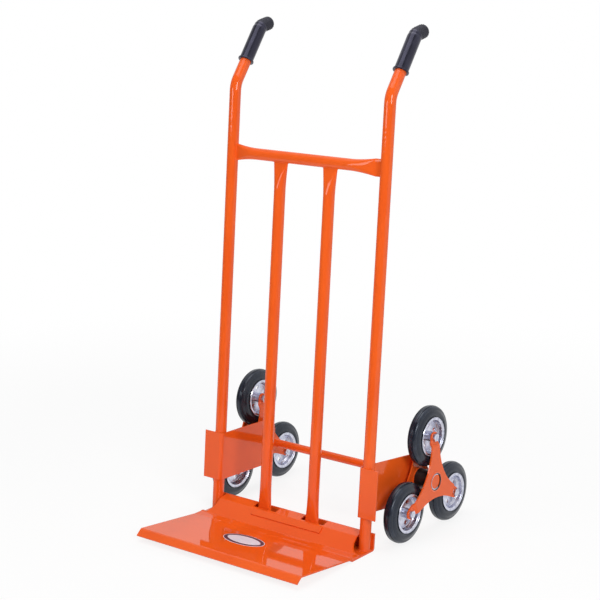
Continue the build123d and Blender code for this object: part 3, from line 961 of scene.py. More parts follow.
@dataclass(frozen=True)
class Stance:
    """How the leaning frame stands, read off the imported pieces.

    Attributes:
        lean: Angle of the uprights from the vertical, in radians.
        upright_x: Distance of an upright's axis from the middle.
        slat_x: Distance of a slat's axis from the middle.
        tube: Outer radius of the frame's tubes.
        crossbar_w: Height of the cross tube's axis along the uprights.
    """

    lean: float
    upright_x: float
    slat_x: float
    tube: float
    crossbar_w: float

    @classmethod
    def measured(cls) -> "Stance":
        """Takes the stance from the boxes of an upright, a slat and the cross tube.

        Returns:
            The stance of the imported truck.
        """
        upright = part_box("upright_right")
        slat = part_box("slat_right")
        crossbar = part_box("upper_crossbar")
        middle = (crossbar[0] + crossbar[1]) / 2
        return cls(
            lean=atan2(middle.y, middle.z),
            upright_x=(upright[0].x + upright[1].x) / 2,
            slat_x=(slat[0].x + slat[1].x) / 2,
            tube=(upright[1].x - upright[0].x) / 2,
            crossbar_w=hypot(middle.y, middle.z),
        )

    def ground(self, x: np.ndarray, v: np.ndarray, w: np.ndarray) -> np.ndarray:
        """Leans points of the upright drawing: Y = v cos + w sin and Z = w cos - v sin of the lean.

        Args:
            x: Places across the truck.
            v: Places backwards.
            w: Places along the uprights.

        Returns:
            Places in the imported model's frame, one row of three to a point.
        """
        across, back, up = np.broadcast_arrays(x, v, w)
        y = back * cos(self.lean) + up * sin(self.lean)
        z = up * cos(self.lean) - back * sin(self.lean)
        return np.stack([across, y, z], axis=-1)

    def frame_point(self, point: Sequence[float]) -> tuple[float, float]:
        """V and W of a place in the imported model's frame, with the lean undone."""
        return (
            point[1] * cos(self.lean) - point[2] * sin(self.lean),
            point[1] * sin(self.lean) + point[2] * cos(self.lean),
        )

    def saddle(self, offset: np.ndarray) -> np.ndarray:
        """From a tube's axis to its skin, at an offset o: the root of R squared less o squared."""
        return np.sqrt(self.tube ** 2 - offset ** 2)


@dataclass(frozen=True)
class PressedEnd:
    """How a tube's end is pressed flat: a flat stretch, then a flare back to the round.

    Attributes:
        flat: Length of the flat stretch.
        flare: Length over which the tube gets round again.
        power: How quickly the flare falls at first.
    """

    flat: float
    flare: float
    power: float

    def share(self, distance: np.ndarray) -> np.ndarray:
        """Share of flattening at a distance from the end: (1 - (d - flat) / flare) to the power."""
        return np.clip(1 - (distance - self.flat) / self.flare, 0.0, 1.0) ** self.power


class Assembly:
    """Sub-assembly of the truck: pieces that are made new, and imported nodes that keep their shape."""

    def build(self) -> None:
        """Makes the new pieces, each with its finish."""
        raise NotImplementedError

    def dress(self) -> None:
        """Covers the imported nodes, where there are any."""


@dataclass
class TubeFrame(Assembly):
    """Uprights, cross tube and slats, with the welds that join them."""

    stance: Stance
    flat_half: float = 2.3 * MM
    crossbar_left: PressedEnd = PressedEnd(0.0, 70 * MM, 2.0)
    crossbar_right: PressedEnd = PressedEnd(17 * MM, 75 * MM, 1.8)
    slat_top: PressedEnd = PressedEnd(0.0, 70 * MM, 1.5)
    slat_foot: PressedEnd = PressedEnd(6 * MM, 80 * MM, 2.0)
    slat_forward: float = 5 * MM
    slat_foot_w: float = 31 * MM
    slat_foot_bead_w: float = 41.9 * MM
    slat_foot_bead: float = 19 * MM
    flat_spread: float = 0.25
    rows: int = 320
    columns: int = 72
    bead: Bead = Bead()
    fine_bead: Bead = Bead(radius=1.2 * MM, pitch=1.8 * MM)

    def section(self, share: np.ndarray) -> tuple[np.ndarray, np.ndarray]:
        """Outlines of a tube pressed by a share between 0, round, and 1, flat.

        The outline is a racetrack: two half circles of radius r joined by straights of length s.
        r falls from the tube's radius to half the flat's depth, and s = pi (R - r) keeps the
        wall's length. The straights are spread over the columns where the cosine is small.

        Args:
            share: Share of flattening of each row.

        Returns:
            Offsets along and across the flat, rows by columns.
        """
        radius = (self.stance.tube + (self.flat_half - self.stance.tube) * share)[:, None]
        straight = pi * (self.stance.tube - radius)
        turn = around(self.columns)
        wide = radius * np.cos(turn) + straight / 2 * np.clip(np.cos(turn) / self.flat_spread, -1, 1)
        return wide, radius * np.sin(turn)

    def crossbar(self) -> Skin:
        """Carries the section across, pressed tall at both ends.

        Each row is the section at the larger of its two ends' shares, and each column runs straight
        from the skin of one upright to the skin of the other.

        Returns:
            The cross tube.
        """
        run = np.linspace(0.0, 1.0, self.rows)
        clear = self.stance.upright_x - self.stance.tube
        left = self.crossbar_left.share(run * 2 * clear)
        right = self.crossbar_right.share((1 - run) * 2 * clear)
        tall, deep = self.section(np.maximum(left, right))
        reach = self.stance.upright_x - self.stance.saddle(deep[-1])
        x = (2 * run[:, None] - 1) * reach
        return Skin.grid(self.stance.ground(x, deep, self.stance.crossbar_w + tall))

    def slat(self) -> Skin:
        """Carries the section up from the foot, pressed wide at both ends.

        Each row is the section at the larger of its two ends' shares, and each column runs straight
        from the foot to the skin of the cross tube.

        Returns:
            The right slat.
        """
        run = np.linspace(0.0, 1.0, self.rows)
        length = self.stance.crossbar_w - self.stance.tube - self.slat_foot_w
        foot = self.slat_foot.share(run * length)
        top = self.slat_top.share((1 - run) * length)
        wide, deep = self.section(np.maximum(foot, top))
        v = deep - self.slat_forward
        end = self.stance.crossbar_w - self.stance.saddle(v[-1])
        w = self.slat_foot_w + run[:, None] * (end - self.slat_foot_w)
        return Skin.grid(self.stance.ground(self.stance.slat_x + wide, v, w))

    def crossbar_weld(self) -> Skin:
        """Follows the pressed end's outline on the skin of the right upright.

        Returns:
            The bead round the end of the cross tube.
        """
        tall, deep = self.section(np.ones(1))
        x = self.stance.upright_x - self.stance.saddle(deep[0])
        path = self.stance.ground(x, deep[0], self.stance.crossbar_w + tall[0])
        return self.bead.along(path, ACROSS, loop=True)

    def slat_welds(self) -> Skin:
        """Follows the pressed top's outline on the skin of the cross tube, and the foot's front.

        Returns:
            The right slat's two beads.
        """
        wide, deep = self.section(np.ones(1))
        v = deep[0] - self.slat_forward
        w = self.stance.crossbar_w - self.stance.saddle(v)
        top = self.stance.ground(self.stance.slat_x + wide[0], v, w)
        x = self.stance.slat_x + np.array([-self.slat_foot_bead, self.slat_foot_bead])
        foot = self.stance.ground(x, -self.slat_forward - self.flat_half, self.slat_foot_bead_w)
        return Skin.joined([self.fine_bead.along(top, UP, loop=True), self.fine_bead.along(foot, UP)])

    def build(self) -> None:
        """Makes the pressed tubes and their welds."""
        self.crossbar().piece("pressed_crossbar", ENAMEL, "frame", ["upper_crossbar"])
        for side in Side:
            self.slat().side_piece(side, "pressed_slat", ENAMEL, "frame", "slat")
            self.crossbar_weld().side_piece(side, "crossbar_weld", ENAMEL, "frame")
            self.slat_welds().side_piece(side, "slat_welds", ENAMEL, "frame")

    def dress(self) -> None:
        """Covers the uprights."""
        dress(ENAMEL, "upright_right", "upright_left")


@dataclass
class ToeBase(Assembly):
    """Toe plate, base angle, tie bar and oval plate, with the welds at the uprights' feet."""

    stance: Stance
    base_sheet: float = 5 * MM
    foot_arc: float = 235.0
    foot_rows: int = 60
    flange_bead_turn: float = 32.0
    flange_bead_w: Span = (12.5 * MM, 47 * MM)
    toe_rise: float = 6.1
    oval_length: float = 128 * MM
    oval_depth: float = 76 * MM
    oval_turn: float = -4.5
    oval_thickness: float = 0.5 * MM
    oval_dome: float = 0.15 * MM
    oval_dome_edge: float = 1.2 * MM
    oval_border: float = 13 * MM
    oval_border_rows: int = 24
    oval_shrink: Span = (0.95, 0.02)
    oval_face_rows: int = 14
    oval_columns: int = 144
    bead: Bead = Bead(radius=1.8 * MM)

    def oval(self) -> Skin:
        """Oval plate: offset rings in from the edge, then rings shrinking to the middle.

        The edge is the ellipse (a cos t, b sin t). Ring points move in along its normal
        (b cos t, a sin t) by the inset, which stays even all round, and the dome rises with it.

        Returns:
            The plate, with the distance from its edge as the point value "inset".
        """
        turn = around(self.oval_columns)
        circle = np.stack([np.cos(turn), np.sin(turn)], axis=1)
        half = np.array([self.oval_length / 2, self.oval_depth / 2])
        inset = np.linspace(0.0, self.oval_border, self.oval_border_rows)[:, None, None]
        border = half * circle - unit(half[::-1] * circle) * inset
        shrink = np.linspace(*self.oval_shrink, self.oval_face_rows)[:, None, None]
        face = np.concatenate([border, border[-1] * shrink])
        from_edge = np.concatenate([inset, self.oval_border * (2 - shrink)])[..., 0]
        rise = self.oval_thickness - self.oval_dome * np.exp(-from_edge / self.oval_dome_edge)
        plan = np.concatenate([face[:1], face])
        height = np.concatenate([np.zeros((1, 1)), rise])
        swing = radians(self.oval_turn)
        x = plan[..., 0] * cos(swing) - plan[..., 1] * sin(swing)
        along = plan[..., 0] * sin(swing) + plan[..., 1] * cos(swing)
        tilt = radians(self.toe_rise)
        low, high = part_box("oval_plate")
        upward = np.array([0.0, sin(tilt), cos(tilt)])
        middle = np.array((low + high) / 2) - self.oval_thickness / 2 * upward
        y = along * cos(tilt) + height * sin(tilt)
        z = height * cos(tilt) - along * sin(tilt)
        points = np.stack([x, y, z], axis=-1) + middle
        inset_value = np.concatenate([from_edge[:1], from_edge])
        return Skin.grid(points, values={"inset": np.broadcast_to(inset_value, points.shape[:2])})

    def foot_weld(self) -> Skin:
        """Follows the front of the right upright's skin just above the base angle.

        Returns:
            The bead round the foot.
        """
        half = radians(self.foot_arc) / 2
        turn = np.linspace(-pi / 2 - half, -pi / 2 + half, self.foot_rows)
        v = self.stance.tube * np.sin(turn)
        x = self.stance.upright_x + self.stance.tube * np.cos(turn)
        w = (self.base_sheet + self.bead.radius / 2 + v * sin(self.stance.lean)) / cos(self.stance.lean)
        return self.bead.along(self.stance.ground(x, v, w), UP)

    def flange_welds(self) -> list[Skin]:
        """Runs up the two grooves between the right upright and the rear flange.

        Returns:
            The two beads.
        """
        beads = []
        for turn in (radians(90 - self.flange_bead_turn), radians(90 + self.flange_bead_turn)):
            x = self.stance.upright_x + self.stance.tube * cos(turn)
            v = self.stance.tube * sin(turn) + self.bead.radius / 2
            path = self.stance.ground(x, v, np.array(self.flange_bead_w))
            beads.append(self.bead.along(path, ACROSS))
        return beads

    def build(self) -> None:
        """Makes the oval plate and the welds."""
        self.oval().piece("plain_oval", FOIL, "frame", ["oval_plate"])
        welds = Skin.joined([self.foot_weld(), *self.flange_welds()])
        for side in Side:
            welds.side_piece(side, "foot_welds", ENAMEL, "frame")

    def dress(self) -> None:
        """Covers the bent sheets and the tie bar."""
        dress(ENAMEL, "toe_plate", "base_angle", "slat_tie_bar")


@dataclass
class AxleMount(Assembly):
    """Wheel brackets and axle, with what keeps the clusters on it."""

    stance: Stance
    bracket_sheet: float = 3 * MM
    bracket_splay: float = 4.85
    bracket_below: float = 66 * MM
    bracket_height: float = 129 * MM
    edge_bead: float = 9 * MM
    edge_rows: int = 20
    ring_columns: int = 60
    bead: Bead = Bead(radius=1.6 * MM)
    ring_bead: Bead = Bead(radius=2.1 * MM)

    def axle_weld(self) -> Skin:
        """Goes round the axle on the inner face of the right bracket's flange, which splays outwards.

        Returns:
            The ring of weld.
        """
        turn = around(self.ring_columns)
        radius = bar_radius("axle") + self.ring_bead.radius / 3
        v, w = self.stance.frame_point(AXLE)
        v = v + radius * np.cos(turn)
        splay = radians(self.bracket_splay)
        flange = (v * sin(splay) - self.stance.tube - self.bracket_sheet) / cos(splay)
        path = self.stance.ground(self.stance.upright_x + flange, v, w + radius * np.sin(turn))
        return self.ring_bead.along(path, ACROSS, loop=True)

    def edge_welds(self) -> list[Skin]:
        """Crosses the right upright's front on the bracket plate's bottom and top edges.

        Returns:
            The two beads.
        """
        low = self.stance.frame_point(AXLE)[1] - self.bracket_below
        offset = np.linspace(-self.edge_bead, self.edge_bead, self.edge_rows)
        x = self.stance.upright_x + offset
        v = -self.stance.saddle(offset)
        paths = [self.stance.ground(x, v, w) for w in (low, low + self.bracket_height)]
        return [self.bead.along(path, UP) for path in paths]

    def build(self) -> None:
        """Makes the welds that hold the brackets and the axle."""
        welds = Skin.joined([self.axle_weld(), *self.edge_welds()])
        for side in Side:
            welds.side_piece(side, "bracket_welds", ENAMEL, "frame")

    def dress(self) -> None:
        """Covers the brackets, the axle and its small parts."""
        dress(ENAMEL, "wheel_bracket_right", "wheel_bracket_left", "axle")
        plated = Zinc("zinc_plate_axle", centre=AXLE)
        dress(plated, "thrust_collars", "axle_end_washers", "axle_clips")


@dataclass
class WheelCluster(Assembly):
    """One cluster's carrier: spiders, hub and the hex bolts and nuts that hold its wheels."""

    side: Side
    across: float = 19 * MM
    head: float = 7.5 * MM
    bolt_radius: float = 6 * MM
    face_share: float = 0.94
    bevel: float = 30.0
    hex_crease: float = 25.0
    hex_ring: float = 1.0 * MM
    pitch: float = 1.75 * MM
    thread_depth: float = 0.5 * MM
    thread_length: float = 14 * MM
    thread_step: float = 0.25 * MM
    bore_gap: float = 0.02 * MM
    countersink: float = 0.7 * MM
    spider_sheet: float = 4 * MM
    columns: int = 96
    ring_columns: int = 120
    bead: Bead = Bead(radius=2.0 * MM)

    def hexagon(self) -> np.ndarray:
        """Radius of a hexagon at each column: half its width over the cosine from its flat's middle."""
        turn = around(self.columns)
        return self.across / 2 / np.cos((turn + pi / 6) % (pi / 3) - pi / 6)

    def face(self) -> float:
        """Radius of the flat round face that the turned bevel leaves on a hexagon."""
        return self.face_share * self.across / 2

    def bevel_fall(self) -> np.ndarray:
        """Fall of the bevel at each column: the hexagon's reach past its face times the tangent."""
        return (self.hexagon() - self.face()) * tan(radians(self.bevel))

    def at_arms(self, rows: Sequence[tuple], loop: bool) -> Skin:
        """Puts three copies of a turned shape at the ends of the arms: Y = r cos t and Z = r sin t.

        Args:
            rows: For each row, its places along X and its radii, as numbers or one to a column.
            loop: True where the last row joins the first.

        Returns:
            The three copies of the right side.
        """
        even = np.ones(self.columns)
        along = np.stack([row[0] * even for row in rows])
        radius = np.stack([row[1] * even for row in rows])
        skins = []
        for perch in Perch:
            centre = JOINT_PLACES[f"wheel_{perch.word}_right_spin"]
            angle = around(self.columns) + radians(perch.value)
            y = centre[1] + radius * np.cos(angle)
            z = centre[2] + radius * np.sin(angle)
            skins.append(Skin.grid(np.stack([along, y, z], axis=-1), loop))
        return Skin.joined(skins)

    def bolts(self) -> Skin:
        """Hex bolts with a bevelled head outside and a thread on the inner end.

        Rows go from the head's face over its bevel and sides to the shank. On the thread the
        radius follows a triangle wave of x / pitch + angle / turn, so its ridges are a helix.

        Returns:
            The three bolts of the right side.
        """
        low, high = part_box("wheel_bolts_right")
        seat = high.x - self.head
        share = around(self.columns) / (2 * pi)
        thread = np.arange(low.x + self.thread_depth, low.x + self.thread_length, self.thread_step)
        thread = thread[::-1, None]
        ridge = np.abs(2 * ((thread / self.pitch + share) % 1.0) - 1)
        rows = [
            (high.x, POLE * self.face()),
            (high.x, self.face()),
            (high.x - self.bevel_fall(), self.hexagon()),
            (seat, self.hexagon()),
            (seat, self.bolt_radius),
            (thread[0] + self.pitch, self.bolt_radius),
            *zip(thread, self.bolt_radius - self.thread_depth * ridge),
            (low.x, self.bolt_radius - 2 * self.thread_depth),
        ]
        return self.at_arms(rows, loop=False)

    def nuts(self) -> Skin:
        """Hex nuts with both faces bevelled and both ends of the bore countersunk.

        Rows go from the bore out over one face and its bevel, along the sides and back in the same way.

        Returns:
            The three nuts of the right side.
        """
        low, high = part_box("wheel_nuts_right")
        bore = self.bolt_radius + self.bore_gap
        mouth = bore + self.countersink
        rows = [
            (low.x + self.countersink, bore),
            (low.x, mouth),
            (low.x, self.face()),
            (low.x + self.bevel_fall(), self.hexagon()),
            (high.x - self.bevel_fall(), self.hexagon()),
            (high.x, self.face()),
            (high.x, mouth),
            (high.x - self.countersink, bore),
        ]
        return self.at_arms(rows, loop=True)

    def hub_welds(self) -> Skin:
        """Goes round the hub tube on the faces of the spiders that look at each other.

        Returns:
            The right hub's two rings of weld.
        """
        radius = bar_radius("hub_tube_right") + self.bead.radius / 3
        inner_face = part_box("spider_inner_right")[0].x + self.spider_sheet
        outer_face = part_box("spider_outer_right")[1].x - self.spider_sheet
        outline = np.array([[inner_face, radius], [outer_face, radius]])
        rings = lathe(outline, (0.0, AXLE[1], AXLE[2]), self.ring_columns)
        return Skin.joined([self.bead.along(ring, ACROSS, loop=True) for ring in rings])

    def build(self) -> None:
        """Makes the bolts, the nuts and the hub's welds."""
        body = f"cluster_{self.side.word}"
        plated = Zinc(f"zinc_plate_bolts_{self.side.word}", ring=self.hex_ring)
        self.bolts().side_piece(self.side, "hex_bolts", plated, body, "wheel_bolts", self.hex_crease)
        self.nuts().side_piece(self.side, "hex_nuts", plated, body, "wheel_nuts", self.hex_crease)
        self.hub_welds().side_piece(self.side, "hub_welds", ENAMEL, body)

    def dress(self) -> None:
        """Covers the spiders, the hub and its small parts."""
        word = self.side.word
        dress(ENAMEL, f"spider_inner_{word}", f"spider_outer_{word}", f"hub_cap_{word}")
        dress(BLACK_STEEL, f"hub_tube_{word}")
        plated = Zinc(f"zinc_plate_hub_{word}", centre=JOINT_PLACES[f"cluster_{word}_turn"])
        dress(plated, f"snap_ring_{word}", f"wheel_spacers_{word}")
        dress(NYLON, f"hub_bushes_{word}")


@dataclass
class Wheel(Assembly):
    """One wheel: moulded tyre, two pressed rim halves and a sleeve."""

    side: Side
    perch: Perch
    outer: float = 79.98 * MM
    shoulder: float = 13.4 * MM
    crown: float = 4.6 * MM
    step: float = 4.8 * MM
    shoulder_round: float = 4.6 * MM
    shoulder_start: float = 0.1
    groove_place: float = 6 * MM
    groove_half: float = 1.1 * MM
    groove_depth: float = 1.6 * MM
    groove_edge: float = 0.35 * MM
    wall_edge: float = 16.3 * MM
    wall_edge_radius: float = 51.95 * MM
    wall_bulge: float = 2.5 * MM
    rib_height: float = 0.22 * MM
    rib_pitch: float = 1.7 * MM
    rib_band: Span = (0.10, 0.36)
    rib_fade: float = 0.05
    seat_radius: float = 44.95 * MM
    seat_round: float = 2 * MM
    tread_rows: int = 90
    shoulder_rows: int = 8
    wall_rows: int = 70
    columns: int = 144

    @property
    def word(self) -> str:
        """The wheel's place as nodes and bodies spell it."""
        return f"{self.perch.word}_{self.side.word}"

    @property
    def centre(self) -> Place:
        """Middle of the wheel."""
        return JOINT_PLACES[f"wheel_{self.word}_spin"]

    def wall_top(self) -> float:
        """Radius where the side wall starts, below the shoulder's step."""
        return self.outer - self.crown - self.step

    def section(self) -> np.ndarray:
        """Closed outline of the tyre's section, as (along X, radius) points.

        From the middle of the tread outwards: the crown is an arc less two smooth-edged grooves,
        its shoulder is a quarter circle, a step leads to the side wall, which is a straight line
        plus a parabola and a band of fine ribs, and the seat lies inside the rim.

        Returns:
            Points of the outline, which is the same on both sides of the middle.
        """
        sphere = (self.shoulder ** 2 + self.crown ** 2) / (2 * self.crown)
        flank = self.shoulder - self.shoulder_round
        turn = np.linspace(self.shoulder_start, pi / 2, self.shoulder_rows)
        flat_x = np.linspace(0.0, flank, self.tread_rows)
        x = np.concatenate([flat_x, self.shoulder - self.shoulder_round * (1 - np.sin(turn))])
        inside = self.groove_half + self.groove_edge - np.abs(x - self.groove_place)
        groove = smooth_step(inside / self.groove_edge)
        past = np.clip(x - flank, 0.0, self.shoulder_round)
        turned = self.shoulder_round - np.sqrt(self.shoulder_round ** 2 - past ** 2)
        arc = self.outer - sphere + np.sqrt(sphere ** 2 - x ** 2)
        tread = arc - self.groove_depth * groove - turned
        share = np.linspace(1.0, 0.0, self.wall_rows)
        low, high = self.rib_band
        band = smooth_step((share - low) / self.rib_fade) * smooth_step((high - share) / self.rib_fade)
        wall_radius = self.wall_edge_radius + share * (self.wall_top() - self.wall_edge_radius)
        ribs = self.rib_height * band * np.sin(2 * pi * wall_radius / self.rib_pitch)
        straight = self.wall_edge + (self.shoulder - self.wall_edge) * share
        wall = straight + 4 * self.wall_bulge * share * (1 - share) + ribs
        seat_x = np.array([self.wall_edge, self.wall_edge - self.seat_round, 0.0])
        seat_r = np.array([self.seat_radius + self.seat_round, self.seat_radius, self.seat_radius])
        radius = np.concatenate([tread, wall_radius, seat_r])
        half = np.stack([np.concatenate([x, wall, seat_x]), radius], axis=1)
        return np.concatenate([half, (half * np.array([-1.0, 1.0]))[-2:0:-1]])

    def tyre(self) -> Skin:
        """Section turned about the wheel's axis, with two point values.

        Returns:
            The tyre, with the length along its section as "along" and 1 on the running face as "tread".
        """
        section = self.section()
        grid = lathe(section, self.centre, self.columns)
        steps = np.linalg.norm(np.diff(section, axis=0), axis=1)
        rows = {
            "along": np.concatenate([[0.0], np.cumsum(steps)]),
            "tread": smooth_step((section[:, 1] - self.wall_top()) / self.step),
        }
        values = {name: np.broadcast_to(row[:, None], grid.shape[:2]) for name, row in rows.items()}
        return Skin.grid(grid, loop=True, values=values)

    def build(self) -> None:
        """Makes the tyre."""
        nodes = [f"tyre_{self.word}"]
        self.tyre().piece(f"moulded_tyre_{self.word}", TYRE, f"wheel_{self.word}", nodes)

    def dress(self) -> None:
        """Covers the rim and the sleeve with zinc whose rings are about this wheel's axis."""
        plated = Zinc(f"zinc_plate_{self.word}", centre=self.centre)
        dress(plated, f"rim_outer_{self.word}", f"rim_inner_{self.word}", f"sleeve_{self.word}")


@dataclass
class Grip(Assembly):
    """One handle grip: flared collar, smooth sleeve and a knurled tip that bends back."""

    stance: Stance
    side: Side
    bend_w: float = 1149 * MM
    handle_angle: float = 31.5
    start: float = 70 * MM
    radius: float = 18.2 * MM
    bore: float = 15.02 * MM
    socket: float = 80 * MM
    collar_radius: float = 21 * MM
    collar_length: float = 5 * MM
    edge_rounds: tuple[float, ...] = (0.4 * MM, 0.6 * MM, 1.4 * MM, 1.6 * MM, 1.0 * MM, 8 * MM)
    knee: float = 106 * MM
    turn: float = 42.5
    bend: float = 26 * MM
    tip_length: float = 40 * MM
    crease_place: float = 101 * MM
    crease_half: float = 2.2 * MM
    crease_depth: float = 1.1 * MM
    crease_even: float = 0.45
    knurl_start: float = 106 * MM
    knurl_fade: float = 2 * MM
    knurl_pitch: float = 7.2 * MM
    knurl_count: int = 16
    knurl_height: float = 0.75 * MM
    skin_share: float = 0.8
    step: float = 0.7 * MM
    columns: int = 160

    def length(self) -> float:
        """Length of the middle line: two straights and the arc between them."""
        reach = self.bend * tan(radians(self.turn) / 2)
        return self.knee + self.tip_length - 2 * reach + self.bend * radians(self.turn)

    def outline(self) -> np.ndarray:
        """Goes from the socket's end over the collar to the tip, with rounded edges.

        Returns:
            Points of (along, radius), one row to each.
        """
        corners = [
            (self.socket, POLE * self.bore),
            (self.socket, self.bore),
            (0.0, self.bore),
            (0.0, self.collar_radius),
            (self.collar_length, self.collar_radius),
            (self.collar_length, self.radius),
            (self.length(), self.radius),
            (self.length(), POLE * self.bore),
        ]
        return divided(rounded(corners, self.edge_rounds), self.step)

    def surface(self) -> Skin:
        """Outline carried along the middle line.

        The middle line runs straight to the bend, turns on an arc and runs straight to the end.
        On the sleeve a crease sinks in where the bend starts, deepest on the inside of the bend,
        and on the tip the skin sinks between dots, which stand where cos(2 pi s / pitch) cos(n a) is
        positive.

        Returns:
            The right grip, with the point value "tip" at 1 on the knurled end.
        """
        outline = self.outline()
        along, radius = outline[:, :1], outline[:, 1:]
        outside = np.arange(len(outline))[:, None] > np.argmax(radius)
        angle = around(self.columns)
        away = (along - self.crease_place) / self.crease_half
        inner = self.crease_even - (1 - self.crease_even) * np.sin(angle)
        crease = self.crease_depth * np.exp(-away ** 2) * inner
        body = smooth_step((radius / self.radius - self.skin_share) / (1 - self.skin_share)) * outside
        tip = smooth_step((along - self.knurl_start) / self.knurl_fade) * outside
        waves = np.cos(2 * pi * along / self.knurl_pitch) * np.cos(self.knurl_count * angle)
        skin = radius + body * (self.knurl_height * tip * (smooth_step(2 * waves) - 1) - crease)
        full = radians(self.turn)
        arc_start = self.knee - self.bend * tan(full / 2)
        turned = np.clip((along - arc_start) / self.bend, 0.0, full)
        past = np.maximum(along - arc_start - self.bend * full, 0.0)
        forward = np.minimum(along, arc_start) + self.bend * np.sin(turned) + past * np.cos(turned)
        back = self.bend * (1 - np.cos(turned)) + past * np.sin(turned)
        forward = self.start + forward - skin * np.sin(angle) * np.sin(turned)
        back = back + skin * np.sin(angle) * np.cos(turned)
        lean = radians(self.handle_angle)
        v = forward * sin(lean) + back * cos(lean)
        w = self.bend_w + forward * cos(lean) - back * sin(lean)
        points = self.stance.ground(self.stance.upright_x + skin * np.cos(angle), v, w)
        return Skin.grid(points, values={"tip": np.broadcast_to(tip, points.shape[:2])})

    def build(self) -> None:
        """Makes the grip."""
        self.surface().side_piece(self.side, "moulded_grip", GRIP, "frame", "grip")


@dataclass(frozen=True)
class Lamp:
    """Soft rectangular lamp; glossy surfaces mirror it only where stated."""

    name: str
    at: tuple[float, float, float]
    aim: tuple[float, float, float]
    width: float
    height: float
    power: float
    mirrored: bool = False

    def build(self) -> None:
        """Puts the lamp in the scene, out of the camera's sight."""
        light = bpy.data.lights.new(self.name, "AREA")
        light.shape = "RECTANGLE"
        light.size = self.width
        light.size_y = self.height
        light.energy = self.power
        made = aimed(self.name, light, self.at, self.aim)
        made.visible_camera = False
        made.visible_glossy = self.mirrored


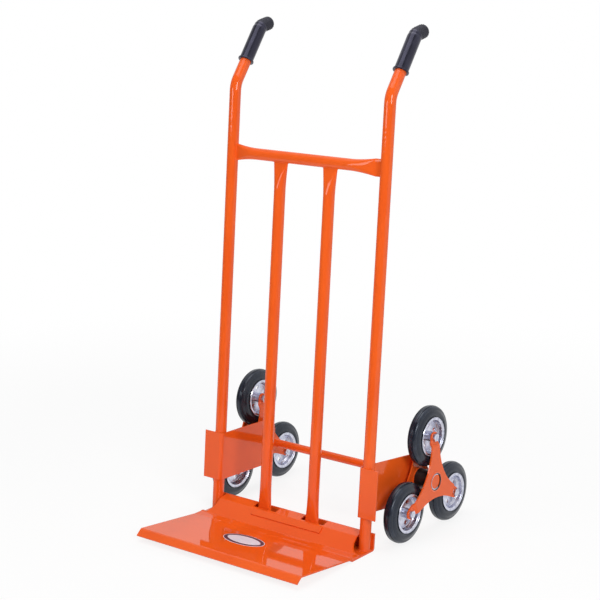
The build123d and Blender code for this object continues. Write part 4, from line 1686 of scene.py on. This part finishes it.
@dataclass
class Studio:
    """Pale floor, white surroundings, soft lamps and the camera."""

    camera_at: tuple[float, float, float] = (2.5203, -3.2180, 1.5884)
    camera_aim: tuple[float, float, float] = (0.0, 0.0494, 0.6117)
    lens: float = 99.22
    sensor: float = 36.0
    floor_half: float = 120.0
    floor_colour: Colour = (0.94, 0.94, 0.94)
    floor_glow: float = 0.84
    floor_fade: Span = (0.9, 2.6)
    floor_front: Span = (-1.9, -0.9)
    white: Colour = (1.0, 1.0, 1.0)
    sky_level: float = 0.20
    room_level: float = 0.15
    room_edge: Span = (-0.45, 0.05)
    lamps: tuple[Lamp, ...] = (
        Lamp("softbox_left", (-0.95, -2.8, 1.42), (0.1, 0.0, 1.1), 1.5, 0.7, 16.5, True),
        Lamp("key_right", (3.15, -1.82, 2.10), (0.0, 0.0, 0.5), 1.4, 1.4, 69.0, True),
        Lamp("fill_front", (-0.20, -3.60, 2.00), (0.0, 0.0, 0.5), 2.0, 1.2, 6.0),
        Lamp("fill_back", (-0.60, 4.00, 2.60), (0.0, 0.0, 0.6), 2.0, 2.0, 50.0),
        Lamp("overhead", (0.00, -0.30, 4.00), (0.0, 0.0, 0.0), 3.0, 3.0, 72.0, True),
    )

    @staticmethod
    def rays(shader: Shader) -> tuple[Wire, Wire]:
        """Sorts rays by where they come from.

        Args:
            shader: Node tree that takes the nodes.

        Returns:
            1 for rays from the camera, straight or through glass, and 1 for mirrored rays.
        """
        path = shader.node("ShaderNodeLightPath")
        seen = path.out("Is Camera Ray").larger(path.out("Is Transmission Ray"))
        return seen, path.out("Is Glossy Ray")

    def mirror_level(self, shader: Shader, place: Wire, edge: Span) -> Wire:
        """Brightness in reflections: a dim room in front, at low Y, and white at the back."""
        return shader.part(place, "Y").between(*edge).ranged(self.room_level, 1.0)

    def surroundings(self) -> None:
        """White to the camera, a plain even light on the truck, and a two-sided studio in reflections.

        Glossy surfaces mirror a white backdrop behind the truck and a dim room on the camera's side.
        The change follows the Y of the mirrored direction, from -1 at the front to 1 at the back.
        """
        world = bpy.data.worlds.new("studio")
        bpy.context.scene.world = world
        shader = Shader(world)
        seen, glossy = self.rays(shader)
        direction = shader.node("ShaderNodeTexCoord").out("Generated")
        mirrored = self.mirror_level(shader, direction, self.room_edge)
        lit = self.sky_level + glossy * (mirrored - self.sky_level)
        strength = lit + seen * (1 - lit)
        sky = {"Color": self.white, "Strength": strength}
        background = shader.node("ShaderNodeBackground", {}, sky)
        shader.node("ShaderNodeOutputWorld", {}, {"Surface": background})

    def floor(self) -> None:
        """Pale floor that takes a soft shadow near the truck and is seen as white further off.

        In reflections it is white under and behind the truck and dim in front, where the room is.
        """
        mesh = bpy.data.meshes.new("floor")
        edge = self.floor_half
        corners = [(-edge, -edge, 0.0), (edge, -edge, 0.0), (edge, edge, 0.0), (-edge, edge, 0.0)]
        mesh.from_pydata(corners, [], [(0, 1, 2, 3)])
        pale = bpy.data.materials.new("pale_floor")
        shader = Shader(pale)
        matt = shader.node("ShaderNodeBsdfDiffuse", {}, {"Color": self.floor_colour})
        glow = shader.node("ShaderNodeEmission", {}, {"Color": self.white})
        seen, glossy = self.rays(shader)
        place = shader.place()
        far = shader.vector("LENGTH", place).out("Value").between(*self.floor_fade)
        white = seen * far.ranged(self.floor_glow, 1.0)
        lit = shader.node("ShaderNodeMixShader", {}, {0: white, 1: matt, 2: glow})
        level = self.mirror_level(shader, place, self.floor_front)
        mirrored = shader.node("ShaderNodeEmission", {}, {"Strength": level})
        surface = shader.node("ShaderNodeMixShader", {}, {0: glossy, 1: lit, 2: mirrored})
        shader.node("ShaderNodeOutputMaterial", {}, {"Surface": surface})
        mesh.materials.append(pale)
        linked("floor", mesh)

    def camera(self) -> None:
        """Camera at the photograph's viewing angle."""
        lens = bpy.data.cameras.new("camera")
        lens.lens = self.lens
        lens.sensor_width = self.sensor
        lens.clip_end = 4 * self.floor_half
        bpy.context.scene.camera = aimed("camera", lens, self.camera_at, self.camera_aim)

    def build(self) -> None:
        """Sets up the whole studio."""
        bpy.context.scene.view_settings.view_transform = "Standard"
        self.surroundings()
        self.floor()
        for lamp in self.lamps:
            lamp.build()
        self.camera()
        LOG.info("studio set up with %d lamps", len(self.lamps))


def main() -> None:
    """Builds and dresses each sub-assembly and sets up the studio."""
    logging.basicConfig(level=logging.INFO, format="%(message)s")
    stance = Stance.measured()
    assemblies: list[Assembly] = [TubeFrame(stance), ToeBase(stance), AxleMount(stance)]
    for side in Side:
        assemblies.append(WheelCluster(side))
        assemblies += [Wheel(side, perch) for perch in Perch]
        assemblies.append(Grip(stance, side))
    for assembly in assemblies:
        assembly.build()
        assembly.dress()
    Studio().build()


if __name__ == "__main__":
    main()
